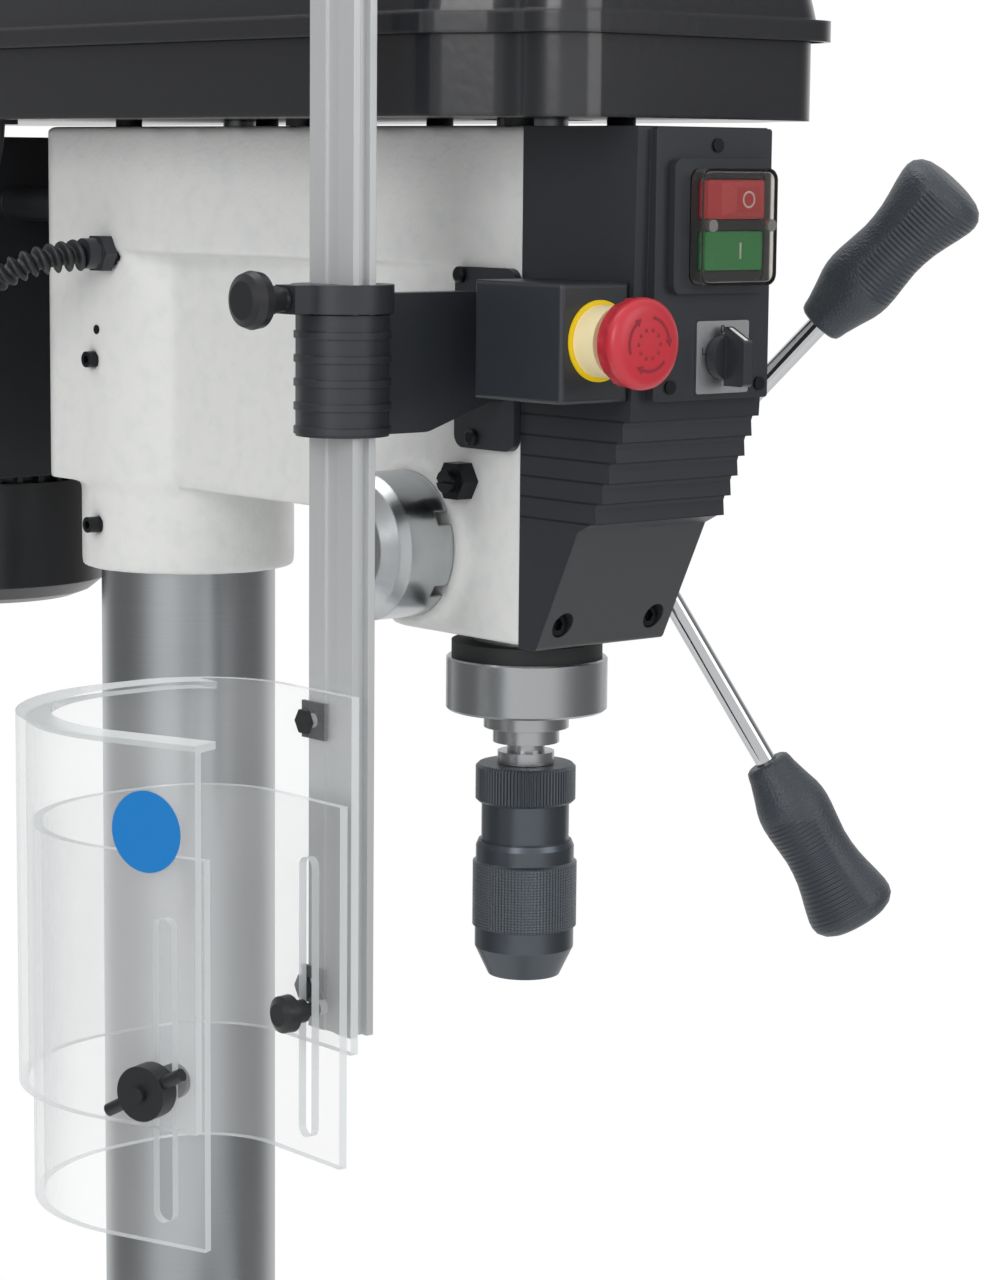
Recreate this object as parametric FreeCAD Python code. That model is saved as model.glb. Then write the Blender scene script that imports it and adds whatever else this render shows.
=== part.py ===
import FreeCAD, Part
import math
import os
from FreeCAD import Vector as V

# Floor-standing pillar drill press with a swing-out chuck guard.
# Millimetres. +Z up, +X the machine's right, the front faces -Y.
# The origin is on the floor plane, on the axis of the column.

# ---- driving dimensions -------------------------------------------------
THROAT = 266.25          # column axis to spindle axis
COLUMN_D = 88.9          # 3 1/2 inch tube
COLUMN_WALL = 4.0
DATUM = 1480.0           # head datum line above the floor
HEAD_TOP = DATUM + 17.0  # machined top of the head casting
HEAD_HALF = 56.0         # half width of the head round the column
NOSE_HALF = 37.5         # half width of the head at the quill
NOSE_Z = DATUM - 209.5   # underside of the quill nose
BELLY_Z = DATUM - 160.0  # underside of the head behind the nose
SEAM_Y = -304.0          # joint face between casting and front cover

BASE_W = 300.0
BASE_FRONT = -385.0
BASE_REAR = 105.0
BASE_H = 38.0
ANCHOR_D = 14.0
ANCHOR_X = 120.0
ANCHOR_Y = (-350.0, 70.0)
FLANGE_D = 176.0
FLANGE_T = 14.0
FLANGE_HUB_D = 122.0
FLANGE_HUB_H = 62.0
FLANGE_BOLT_R = 75.0

TABLE_TOP = 800.0
TABLE_SIZE = 300.0
TABLE_T = 22.0
TABLE_HOLE_D = 32.0
TILT_DROP = 80.0         # table top to tilt axis
ARM_H = 110.0
ARM_BOSS_R = 62.0
DISC_D = 100.0

QUILL_D = 50.0
QUILL_TOP = DATUM - 20.0
QUILL_BOTTOM = DATUM - 220.8
COLLAR_D = 73.6
COLLAR_BOTTOM = DATUM - 245.3
QUILL_STROKE = 85.0
SPINDLE_D = 17.3
CHUCK_TOP = DATUM - 270.5

MODULE = 1.5             # quill rack and feed pinion
PINION_TEETH = 16
FEED_Z = DATUM - 170.0
LIFT_MODULE = 2.0        # column rack and elevating pinion
LIFT_TEETH = 12
HUB_X = 94.0             # where the three spokes meet
SPOKE_LEAN = 22.0
SPOKE_TURN = -157.7
SPOKE_TIP = 219.0
GRIP_START = 129.0
ROD_D = 10.0

PAN_Z = DATUM + 20.0
PAN_TOP = DATUM + 60.0
LID_LIP = DATUM + 54.0
LID_TOP = DATUM + 132.0
COVER_HALF = 97.0
COVER_NOSE_HALF = 78.5
COVER_FRONT = -374.0
COVER_REAR = 305.0
SHEET = 2.0
LIP_OUT = 6.0

IDLER_Y = -45.0
MOTOR_Y = 210.0
MOTOR_R = 73.0
STEP_H = 17.0            # height of one pulley step
STEP_Z = DATUM + 26.0    # underside of the lowest step

PLATE_Y = -380.5         # front face of the switch plate
ESTOP_X = -55.0
ESTOP_Z = DATUM - 72.0
RAIL_X = -125.0
RAIL_Y = -290.0
RAIL_TOP = DATUM + 118.0
RAIL_BOTTOM = DATUM - 371.0
RAIL_W = 12.0
RAIL_D = 30.0
GUARD_T = 4.0
GUARD_TOP = DATUM - 222.0
GUARD_BOTTOM = DATUM - 376.0
LOWER_TOP = DATUM - 268.0
LOWER_BOTTOM = DATUM - 425.0
STUD_Z = DATUM - 360.0

FIT = 0.05               # radial clearance of running fits
GAP = 0.4                # clearance between moving neighbours

SPINDLE_Y = -THROAT
COLUMN_R = COLUMN_D / 2.0
PITCH_R = MODULE * PINION_TEETH / 2.0
FEED_Y = SPINDLE_Y + QUILL_D / 2.0 - MODULE + PITCH_R
TILT_Z = TABLE_TOP - TILT_DROP
RACK_T = 12.0
RACK_W = 20.0
LIFT_R = LIFT_MODULE * LIFT_TEETH / 2.0
LIFT_Y = COLUMN_R + GAP + RACK_T - LIFT_MODULE + LIFT_R
FLANGE_TOP = BASE_H + FLANGE_HUB_H
RACK_TOP = 850.0
COLUMN_TOP = DATUM - 52.0

os.makedirs("parts", exist_ok=True)


# ---- small shape tools --------------------------------------------------
def save(name, *shapes):
    body = shapes[0] if len(shapes) == 1 else Part.makeCompound(list(shapes))
    body.exportStep("parts/" + name + ".step")


def box(x0, x1, y0, y1, z0, z1):
    return Part.makeBox(x1 - x0, y1 - y0, z1 - z0, V(x0, y0, z0))


def rod(r, start, end):
    a = V(*start)
    b = V(*end)
    return Part.makeCylinder(r, (b - a).Length, a, b - a)


def turned(profile, base, axis):
    # profile: (distance along the axis, radius) pairs, closed on the axis
    d = V(*axis)
    d.normalize()
    side = V(1, 0, 0) if abs(d.x) < 0.9 else V(0, 1, 0)
    u = side - d * side.dot(d)
    u.normalize()
    o = V(*base)
    pts = [o + d * profile[0][0]]
    for t, r in profile:
        pts.append(o + d * t + u * r)
    pts.append(o + d * profile[-1][0])
    clean = [pts[0]]
    for p in pts[1:]:
        if (p - clean[-1]).Length > 1e-6:
            clean.append(p)
    if (clean[0] - clean[-1]).Length > 1e-6:
        clean.append(clean[0])
    face = Part.Face(Part.makePolygon(clean))
    return face.revolve(o, d, 360)


def outline(points, place):
    # closed wire with a tangent arc of radius r at every (u, v, r) corner
    n = len(points)
    ends = []
    for i in range(n):
        p = V(points[i][0], points[i][1], 0)
        a = V(points[i - 1][0], points[i - 1][1], 0) - p
        b = V(points[(i + 1) % n][0], points[(i + 1) % n][1], 0) - p
        a.normalize()
        b.normalize()
        r = points[i][2]
        half = math.acos(max(-1.0, min(1.0, a.dot(b)))) / 2.0
        if r <= 0 or abs(half - math.pi / 2) < 1e-4:
            ends.append((p, None, p))
            continue
        t = r / math.tan(half)
        m = a + b
        m.normalize()
        mid = p + m * (r / math.sin(half) - r)
        ends.append((p + a * t, mid, p + b * t))
    edges = []
    for i in range(n):
        s, m, e = ends[i]
        if m is not None:
            edges.append(Part.Arc(place(s), place(m), place(e)).toShape())
        nxt = ends[(i + 1) % n][0]
        if (nxt - e).Length > 1e-6:
            edges.append(Part.LineSegment(place(e), place(nxt)).toShape())
    return Part.Wire(edges)


def slab(points, z0, z1):
    w = outline(points, lambda p: V(p.x, p.y, z0))
    return Part.Face(w).extrude(V(0, 0, z1 - z0))


def side_slab(points, x0, x1):
    # points are (y, z, r)
    w = outline(points, lambda p: V(x0, p.x, p.y))
    return Part.Face(w).extrude(V(x1 - x0, 0, 0))


def front_slab(points, y0, y1):
    # points are (x, z, r)
    w = outline(points, lambda p: V(p.x, y0, p.y))
    return Part.Face(w).extrude(V(0, y1 - y0, 0))


def rect(u0, u1, v0, v1, r):
    return [(u0, v0, r), (u1, v0, r), (u1, v1, r), (u0, v1, r)]


def hexagon(across, base, axis, height):
    d = V(*axis)
    d.normalize()
    side = V(0, 0, 1) if abs(d.z) < 0.9 else V(1, 0, 0)
    u = side.cross(d)
    w = d.cross(u)
    o = V(*base)
    r = across / math.sqrt(3.0)
    pts = []
    for k in range(7):
        t = math.radians(60 * k)
        pts.append(o + u * (r * math.cos(t)) + w * (r * math.sin(t)))
    return Part.Face(Part.makePolygon(pts)).extrude(d * height)


def gear_prism(m, teeth, centre, x0, x1, turn):
    # straight-flanked spur teeth, axis along X, thinned for backlash
    pr = m * teeth / 2.0
    step = 360.0 / teeth
    pts = []
    for k in range(teeth):
        for off, r in ((-0.29, pr - 1.2 * m), (-0.14, pr + m), (0.14, pr + m), (0.29, pr - 1.2 * m)):
            t = math.radians(turn + (k + off) * step)
            pts.append(V(x0, centre[0] + r * math.cos(t), centre[1] + r * math.sin(t)))
    pts.append(pts[0])
    return Part.Face(Part.makePolygon(pts)).extrude(V(x1 - x0, 0, 0))


def rack_cuts(m, y_tip, z0, z1, z_gap, x0, x1, inward):
    # tooth gaps of a vertical rack, one gap centred on z_gap
    pitch = math.pi * m
    depth = 2.3 * m
    cuts = []
    k0 = int(math.ceil((z0 - z_gap) / pitch))
    k1 = int(math.floor((z1 - z_gap) / pitch))
    for k in range(k0, k1 + 1):
        z = z_gap + k * pitch
        a = 0.37 * pitch
        b = 0.19 * pitch
        pts = [V(x0, y_tip + 0.5 * inward * -1, z - a), V(x0, y_tip + 0.5 * inward * -1, z + a),
               V(x0, y_tip + depth * inward, z + b), V(x0, y_tip + depth * inward, z - b)]
        pts.append(pts[0])
        cuts.append(Part.Face(Part.makePolygon(pts)).extrude(V(x1 - x0, 0, 0)))
    return cuts


# ---- base, column flange and column -------------------------------------
base = slab(rect(-BASE_W / 2, BASE_W / 2, BASE_FRONT, BASE_REAR, 32), 0, BASE_H)
pocket = slab(rect(-BASE_W / 2 + 13, BASE_W / 2 - 13, BASE_FRONT + 13, BASE_REAR - 13, 20), -1, BASE_H - 13)
pads = [Part.makeCylinder(FLANGE_D / 2 + 6, BASE_H, V(0, 0, 0))]
for y in ANCHOR_Y:
    for sx in (-1, 1):
        pads.append(Part.makeCylinder(19, BASE_H, V(sx * ANCHOR_X, y, 0)))
base = base.cut(pocket.cut(Part.makeCompound(pads)))
holes = []
for y in ANCHOR_Y:
    for sx in (-1, 1):
        holes.append(Part.makeCylinder(ANCHOR_D / 2, BASE_H + 2, V(sx * ANCHOR_X, y, -1)))
for sx in (-1, 1):
    holes.append(slab(rect(sx * 62 - 7, sx * 62 + 7, -335, -130, 6.9), BASE_H - 14, BASE_H + 1))
for k in range(4):
    t = math.radians(45 + 90 * k)
    c = V(FLANGE_BOLT_R * math.cos(t), FLANGE_BOLT_R * math.sin(t), BASE_H - 26)
    holes.append(Part.makeCylinder(6 + FIT, 27, c))
base = base.cut(holes)
save("base_plate", base)

flange = turned([(0, FLANGE_D / 2), (FLANGE_T - 3, FLANGE_D / 2), (FLANGE_T, FLANGE_D / 2 - 3),
                 (FLANGE_T, FLANGE_HUB_D / 2 + 8), (FLANGE_T + 8, FLANGE_HUB_D / 2),
                 (FLANGE_HUB_H - 3, FLANGE_HUB_D / 2 - 2), (FLANGE_HUB_H, FLANGE_HUB_D / 2 - 5)],
                (0, 0, BASE_H), (0, 0, 1))
flange = flange.cut(Part.makeCylinder(COLUMN_R + FIT, FLANGE_HUB_H + 2, V(0, 0, BASE_H - 1)))
bolts = []
for k in range(4):
    t = math.radians(45 + 90 * k)
    x = FLANGE_BOLT_R * math.cos(t)
    y = FLANGE_BOLT_R * math.sin(t)
    flange = flange.cut(Part.makeCylinder(6.6, FLANGE_T + 2, V(x, y, BASE_H - 1)))
    flange = flange.cut(Part.makeCylinder(11.5, FLANGE_HUB_H, V(x, y, BASE_H + FLANGE_T)))
    shank = Part.makeCylinder(6, FLANGE_T + 22, V(x, y, BASE_H - 22))
    bolts.append(shank.fuse(hexagon(19, (x, y, BASE_H + FLANGE_T), (0, 0, 1), 8)))
save("column_flange", flange)
save("flange_bolts", *bolts)

column = Part.makeCylinder(COLUMN_R, COLUMN_TOP - BASE_H, V(0, 0, BASE_H))
column = column.cut(Part.makeCylinder(COLUMN_R - COLUMN_WALL, COLUMN_TOP, V(0, 0, BASE_H - 1)))
save("column_tube", column)

# ---- elevating rack with its top ring -----------------------------------
rack_z0 = FLANGE_TOP + GAP
rack_y0 = COLUMN_R + GAP
rack = box(-RACK_W / 2, RACK_W / 2, rack_y0, rack_y0 + RACK_T, rack_z0, RACK_TOP)
rack = rack.cut(rack_cuts(LIFT_MODULE, rack_y0 + RACK_T, rack_z0 + 12, RACK_TOP - 12, TILT_Z,
                          -RACK_W / 2 - 1, RACK_W / 2 + 1, -1))
ring = turned([(0, 66), (14, 66), (18, 62)], (0, 0, RACK_TOP), (0, 0, 1))
ring = ring.cut(Part.makeCylinder(COLUMN_R + FIT, 40, V(0, 0, RACK_TOP - 2)))
save("elevating_rack", rack, ring)

# ---- table arm ----------------------------------------------------------
arm_z0 = TILT_Z - ARM_H / 2
arm_z1 = TILT_Z + ARM_H / 2
arm = turned([(0, ARM_BOSS_R - 3), (3, ARM_BOSS_R), (ARM_H - 3, ARM_BOSS_R), (ARM_H, ARM_BOSS_R - 3)],
             (0, 0, arm_z0), (0, 0, 1))
arm = arm.fuse(box(-27, 27, 0, LIFT_Y + 24, arm_z0 + 12, arm_z1 - 12))
beam = side_slab([(0, TILT_Z - 42, 0), (0, TILT_Z + 42, 0), (-150, TILT_Z + 26, 20),
                  (-167, TILT_Z + 26, 0), (-167, TILT_Z - 26, 0), (-150, TILT_Z - 26, 20)], -26, 26)
arm = arm.fuse(beam)
arm = arm.fuse(rod(DISC_D / 2, (0, -178, TILT_Z), (0, -163, TILT_Z)))
arm = arm.fuse(box(-ARM_BOSS_R - 24, -ARM_BOSS_R + 8, -17, 17, TILT_Z - 22, TILT_Z + 22))
arm = arm.cut(Part.makeCylinder(COLUMN_R + FIT, ARM_H + 2, V(0, 0, arm_z0 - 1)))
arm = arm.cut(box(-RACK_W / 2 - GAP, RACK_W / 2 + GAP, 0, rack_y0 + RACK_T + GAP, arm_z0 - 1, arm_z1 + 1))
arm = arm.cut(rod(LIFT_R + LIFT_MODULE + GAP, (-13, LIFT_Y, TILT_Z), (28, LIFT_Y, TILT_Z)))
arm = arm.cut(rod(7 + FIT, (-28, LIFT_Y, TILT_Z), (0, LIFT_Y, TILT_Z)))
arm = arm.cut(box(-ARM_BOSS_R - 26, -COLUMN_R + 2, -2, 2, arm_z0 - 1, arm_z1 + 1))
arm = arm.cut(rod(6 + FIT, (-75, -20, TILT_Z), (-75, 20, TILT_Z)))
arm = arm.cut(rod(8 + FIT, (0, -180, TILT_Z), (0, -130, TILT_Z)))
save("table_arm", arm)

lever = rod(6, (-75, -30, TILT_Z), (-75, 17, TILT_Z))
lever = lever.fuse(hexagon(18, (-75, 17, TILT_Z), (0, 1, 0), 9))
lever = lever.fuse(rod(11, (-75, -35, TILT_Z), (-75, -17, TILT_Z)))
tip = (-75 - 52, -44, TILT_Z + 62)
lever = lever.fuse(rod(5, (-75, -27, TILT_Z), tip))
lean = V(*tip) - V(-75, -27, TILT_Z)
lean.normalize()
foot = V(*tip) - lean * 8
lever = lever.fuse(turned([(0, 6), (4, 9.5), (9, 11), (14, 10.4), (18, 7.6), (20, 4)], (foot.x, foot.y, foot.z),
                          (lean.x, lean.y, lean.z)))
save("arm_lock_lever", lever)

crank = gear_prism(LIFT_MODULE, LIFT_TEETH, (LIFT_Y, TILT_Z), -12, 13, 180)
crank = crank.fuse(rod(7, (-28, LIFT_Y, TILT_Z), (-12, LIFT_Y, TILT_Z)))
crank = crank.fuse(rod(LIFT_R + LIFT_MODULE, (13, LIFT_Y, TILT_Z), (27, LIFT_Y, TILT_Z)))
crank = crank.fuse(rod(8, (27, LIFT_Y, TILT_Z), (96, LIFT_Y, TILT_Z)))
crank = crank.fuse(rod(13, (80, LIFT_Y, TILT_Z), (98, LIFT_Y, TILT_Z)))
crank = crank.fuse(side_slab(rect(LIFT_Y - 8, LIFT_Y + 8, TILT_Z - 98, TILT_Z + 2, 7.9), 84, 94))
crank = crank.fuse(turned([(0, 6), (6, 6), (6, 9), (30, 12), (70, 10), (74, 7)],
                          (94, LIFT_Y, TILT_Z - 88), (1, 0, 0)))
save("lift_crank", crank)

# ---- tilting table ------------------------------------------------------
half = TABLE_SIZE / 2
ty = SPINDLE_Y
table = slab(rect(-half, half, ty - half, ty + half, 18), TABLE_TOP - TABLE_T, TABLE_TOP)
rim = slab(rect(-half, half, ty - half, ty + half, 18), TABLE_TOP - 34, TABLE_TOP - TABLE_T + 1)
rim = rim.cut(slab(rect(-half + 11, half - 11, ty - half + 11, ty + half - 11, 8),
                   TABLE_TOP - 35, TABLE_TOP - TABLE_T + 2))
table = table.fuse(rim)
table = table.cut(slab(rect(-half + 16, half - 16, ty - half + 16, ty + half - 16, 12),
                       TABLE_TOP - TABLE_T - 1, TABLE_TOP - 12))
table = table.fuse(Part.makeCylinder(34, 26, V(0, ty, TABLE_TOP - 38)))
for sx in (-1, 1):
    web = side_slab([(-192, TILT_Z - 34, 6), (-192, TABLE_TOP - 12, 0), (ty - 70, TABLE_TOP - 12, 0),
                     (ty - 70, TABLE_TOP - 30, 6)], sx * 29 - 5, sx * 29 + 5)
    table = table.fuse(web)
disc = rod(DISC_D / 2, (0, -192, TILT_Z), (0, -178, TILT_Z))
table = table.fuse(disc)
table = table.fuse(box(-34, 34, -192, -178, TILT_Z, TABLE_TOP - 12))
table = table.cut(Part.makeCylinder(TABLE_HOLE_D / 2, 60, V(0, ty, TABLE_TOP - 50)))
for k in range(4):
    slot = slab(rect(50, 128, -6, 6, 5.9), TABLE_TOP - 60, TABLE_TOP + 1)
    slot.rotate(V(0, 0, 0), V(0, 0, 1), 45 + 90 * k)
    slot.translate(V(0, ty, 0))
    table = table.cut(slot)
table = table.cut(rod(8 + FIT, (0, -194, TILT_Z), (0, -176, TILT_Z)))
save("table", table)
tilt_bolt = rod(8, (0, -192, TILT_Z), (0, -134, TILT_Z))
tilt_bolt = tilt_bolt.fuse(hexagon(24, (0, -202, TILT_Z), (0, 1, 0), 10))
save("tilt_bolt", tilt_bolt)

# ---- head casting -------------------------------------------------------
band = slab([(-HEAD_HALF, 53, 16), (HEAD_HALF, 53, 16), (HEAD_HALF, -40, 60), (NOSE_HALF, SEAM_Y, 0),
             (-NOSE_HALF, SEAM_Y, 0), (-HEAD_HALF, -40, 60)], DATUM - 44, HEAD_TOP)
barrel = Part.makeCylinder(HEAD_HALF, 120, V(0, 0, BELLY_Z))
rear = slab([(-HEAD_HALF, 53, 16), (HEAD_HALF, 53, 16), (HEAD_HALF, 0, 0), (-HEAD_HALF, 0, 0)],
            BELLY_Z, DATUM - 40)
web = side_slab([(0, BELLY_Z, 0), (0, DATUM - 40, 0), (SEAM_Y, DATUM - 40, 0), (SEAM_Y, NOSE_Z, 0),
                 (-215, NOSE_Z, 14), (-176, BELLY_Z, 20)], -NOSE_HALF, NOSE_HALF)
head = band.fuse([barrel, rear, web])
head = head.fuse(turned([(0, 53.2), (1, 54.2), (46, 54.2)], (0, 0, DATUM - 204), (0, 0, 1)))
head = head.fuse(rod(37, (-41.5, FEED_Y, FEED_Z), (-30, FEED_Y, FEED_Z)))
head = head.fuse(rod(26, (30, FEED_Y, FEED_Z), (46, FEED_Y, FEED_Z)))
head = head.removeSplitter()
cuts = [Part.makeCylinder(COLUMN_R + FIT, COLUMN_TOP - DATUM + 300, V(0, 0, DATUM - 300))]
cuts.append(Part.makeCylinder(QUILL_D / 2 + FIT, 400, V(0, SPINDLE_Y, NOSE_Z - 10)))
cuts.append(rod(PITCH_R + MODULE + 0.3, (-42.5, FEED_Y, FEED_Z), (47, FEED_Y, FEED_Z)))
cuts.append(slab(rect(-29, 29, -166, -70, 8), BELLY_Z - 2, DATUM - 2))
for sx in (-1, 1):
    cuts.append(rod(9 + FIT, (sx * 41, -70, DATUM - 22), (sx * 41, 60, DATUM - 22)))
cuts.append(rod(6 + FIT, (-60, -10, DATUM - 45), (-45, -10, DATUM - 45)))
cuts.append(rod(2.5, (-60, -1, DATUM - 83), (-50, -1, DATUM - 83)))
cuts.append(rod(4 + FIT, (-60, 3, DATUM - 98), (-46, 3, DATUM - 98)))
cuts.append(rod(4 + FIT, (-60, 3, DATUM - 181), (-46, 3, DATUM - 181)))
cuts.append(rod(5 + FIT, (-50, SPINDLE_Y, DATUM - 139), (-20, SPINDLE_Y, DATUM - 139)))
for y, z in ((-276, -119), (-267, -48)):
    cuts.append(rod(2 + FIT, (-40, y, DATUM + z), (-28, y, DATUM + z)))
for sx in (-1, 1):
    cuts.append(rod(3 + FIT, (sx * 27, SEAM_Y - 1, DATUM - 199), (sx * 27, -290, DATUM - 199)))
cuts.append(Part.makeCylinder(8 + FIT, 40, V(0, IDLER_Y, DATUM - 12)))
FEET = ((-42, -10), (-42, -150), (-30, -292), (42, -10), (42, -150), (30, -292))
for x, y in FEET:
    cuts.append(Part.makeCylinder(2.5 + FIT, 20, V(x, y, HEAD_TOP - 12)))
head = head.cut(cuts)
save("head_casting", head)

# Black screws of the head: three column screws, the quill gib stud with its
# nut, and the two screws of the guard bracket.
screws = []
for z in (-98, -181):
    s = rod(4, (-60, 3, DATUM + z), (-47, 3, DATUM + z))
    screws.append(s.cut(hexagon(4, (-60.5, 3, DATUM + z), (1, 0, 0), 4)))
stud = rod(5, (-50, SPINDLE_Y, DATUM - 139), (-28, SPINDLE_Y, DATUM - 139))
stud = stud.fuse(rod(2.2, (-28, SPINDLE_Y, DATUM - 139), (-21.3, SPINDLE_Y, DATUM - 139)))
stud = stud.fuse(hexagon(16, (-46, SPINDLE_Y, DATUM - 139), (1, 0, 0), 46 - NOSE_HALF))
stud = stud.cut(box(-51, -47.5, SPINDLE_Y - 6, SPINDLE_Y + 6, DATUM - 139.7, DATUM - 138.3))
screws.append(stud)
for y, z in ((-276, -119), (-267, -48)):
    s = rod(2, (-42, y, DATUM + z), (-29, y, DATUM + z))
    screws.append(s.fuse(turned([(0, 2.4), (0.8, 3.6), (2.6, 3.8)], (-44.1, y, DATUM + z), (1, 0, 0))))
save("head_screws", *screws)

# ---- front cover --------------------------------------------------------
prof = [(SEAM_Y, HEAD_TOP - 0.3, 0), (-376.9, HEAD_TOP - 0.3, 1.5), (-374.8, DATUM - 100, 0)]
for k in range(6):
    y = -374.8 + 24.5 * k / 6.0
    z = DATUM - 100 - 54.0 * k / 6.0
    prof.append((y + 0.4, z - 6.6, 0))
    prof.append((y + 4.2, z - 6.9, 0))
    prof.append((y + 5.0, z - 9.0, 0))
prof[-1] = (-342.2, DATUM - 155.8, 0)
prof += [(-315.5, DATUM - 210.4, 3), (SEAM_Y, DATUM - 210.4, 0)]
cover = side_slab(prof, -37.8, 37.8)
inner = side_slab([(SEAM_Y + 2, HEAD_TOP - 3.3, 0), (-373, HEAD_TOP - 3.3, 2), (-371, DATUM - 98, 0),
                   (-340, DATUM - 152, 0), (-322, DATUM - 186, 0), (SEAM_Y + 2, DATUM - 186, 0)], -34.8, 34.8)
cover = cover.cut(inner)
plate = front_slab(rect(-30.6, 36.4, DATUM - 98, HEAD_TOP - 0.8, 1.5), PLATE_Y, -374)
cover = cover.fuse(plate)
cover = cover.cut([box(-20, 29, -386, -368, DATUM - 49, DATUM - 1), rod(6, (8, -386, DATUM - 80), (8, -365, DATUM - 80))])
for sx in (-1, 1):
    cover = cover.cut(rod(5.6, (sx * 27, -360, DATUM - 199), (sx * 27, SEAM_Y - 8, DATUM - 199)))
    cover = cover.cut(rod(3 + FIT, (sx * 27, -330, DATUM - 199), (sx * 27, SEAM_Y + 1, DATUM - 199)))
PLATE_SCREWS = ((4, 9.0), (-21.5, -92), (31, -92))
for x, z in PLATE_SCREWS:
    cover = cover.cut(rod(1.5 + FIT, (x, PLATE_Y - 1, DATUM + z), (x, -370, DATUM + z)))
save("front_cover", cover)
cs = []
for sx in (-1, 1):
    s = rod(5, (sx * 27, SEAM_Y - 14, DATUM - 199), (sx * 27, SEAM_Y - 8, DATUM - 199))
    s = s.fuse(rod(3, (sx * 27, SEAM_Y - 8, DATUM - 199), (sx * 27, SEAM_Y + 12, DATUM - 199)))
    cs.append(s.cut(hexagon(5, (sx * 27, SEAM_Y - 14.5, DATUM - 199), (0, 1, 0), 3.5)))
for x, z in PLATE_SCREWS:
    s = rod(1.5, (x, PLATE_Y, DATUM + z), (x, -371, DATUM + z))
    cs.append(s.fuse(rod(2.9, (x, PLATE_Y - 1.2, DATUM + z), (x, PLATE_Y, DATUM + z))))

# ---- switchgear ---------------------------------------------------------
bezel = front_slab(rect(-23.5, 32.5, DATUM - 53, DATUM + 3.4, 4), PLATE_Y - 4, PLATE_Y)
bezel = bezel.fuse(box(-19.5, 28.5, PLATE_Y - 1, -340, DATUM - 48.5, DATUM - 1.5))
bezel = bezel.cut(box(-9.2, 25.2, PLATE_Y - 8, -352, DATUM - 22.1, DATUM - 4.9))
bezel = bezel.cut(box(-9.2, 25.2, PLATE_Y - 8, -352, DATUM - 43.6, DATUM - 26.4))
save("switch_bezel", bezel)
BTN = ((-8.6, 24.6, -21.6, -5.4), (-8.6, 24.6, -43.1, -26.9))
stop = front_slab(rect(BTN[0][0], BTN[0][1], DATUM + BTN[0][2], DATUM + BTN[0][3], 1.2), PLATE_Y - 7.4, -360)
save("stop_button", stop)
start = front_slab(rect(BTN[1][0], BTN[1][1], DATUM + BTN[1][2], DATUM + BTN[1][3], 1.2), PLATE_Y - 6.4, -360)
save("start_button", start)
boot = front_slab(rect(-15, 29, DATUM - 49.5, DATUM - 0.5, 5), PLATE_Y - 11.5, PLATE_Y - 4)
boot = boot.cut(front_slab(rect(-13.6, 27.6, DATUM - 48.1, DATUM - 1.9, 4), PLATE_Y - 10.3, PLATE_Y - 3))
save("switch_boot", boot)
for x in (-10, 24.5):
    cs.append(rod(2.6, (x, PLATE_Y - 13.2, DATUM - 24.3), (x, PLATE_Y - 11.5, DATUM - 24.3)))
save("cover_screws", *cs)
cplate = box(-7.0, 23.6, PLATE_Y - 1.2, PLATE_Y, DATUM - 95.4, DATUM - 64.6)
cplate = cplate.cut(rod(5.5, (8, -386, DATUM - 80), (8, -365, DATUM - 80)))
knob = rod(9.8, (8, PLATE_Y - 6.2, DATUM - 80), (8, PLATE_Y - 1.6, DATUM - 80))
knob = knob.fuse(rod(4.8, (8, PLATE_Y - 1.6, DATUM - 80), (8, -350, DATUM - 80)))
knob = knob.fuse(side_slab([(PLATE_Y - 5, DATUM - 92, 0), (PLATE_Y - 17, DATUM - 92, 2),
                            (PLATE_Y - 17, DATUM - 73, 1.5), (PLATE_Y - 5, DATUM - 67, 0)], 5.4, 10.6))
save("selector_knob", knob)
ebox = box(-75.6, -37.8, -373, -317, DATUM - 98, DATUM - 48)
ebox = ebox.makeFillet(2.0, [e for e in ebox.Edges if e.BoundBox.XMax < -70 or e.BoundBox.YMax < -372])
ebox = ebox.cut(box(-73.2, -40.2, -370.6, -319, DATUM - 95.6, DATUM - 50.4))
ebox = ebox.cut(rod(11, (ESTOP_X, -376, ESTOP_Z), (ESTOP_X, -360, ESTOP_Z)))
save("estop_box", ebox)
label = rod(17.0, (ESTOP_X, -373.8, ESTOP_Z), (ESTOP_X, -373, ESTOP_Z))
label = label.cut(rod(11, (ESTOP_X, -376, ESTOP_Z), (ESTOP_X, -360, ESTOP_Z)))
collar = rod(15, (ESTOP_X, -386, ESTOP_Z), (ESTOP_X, -373.8, ESTOP_Z))
collar = collar.fuse(rod(10.9, (ESTOP_X, -373.8, ESTOP_Z), (ESTOP_X, -352, ESTOP_Z)))
collar = collar.cut(rod(7 + FIT, (ESTOP_X, -390, ESTOP_Z), (ESTOP_X, -350, ESTOP_Z)))
save("switch_legends", cplate, label, collar)
mush = turned([(0, 15.4), (1.6, 18.2), (3.5, 19.0), (12, 19.0), (13.2, 17), (14.5, 13.5)],
              (ESTOP_X, -404, ESTOP_Z), (0, 1, 0))
mush = mush.fuse(rod(7, (ESTOP_X, -391, ESTOP_Z), (ESTOP_X, -340, ESTOP_Z)))
save("estop_button", mush)

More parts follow.
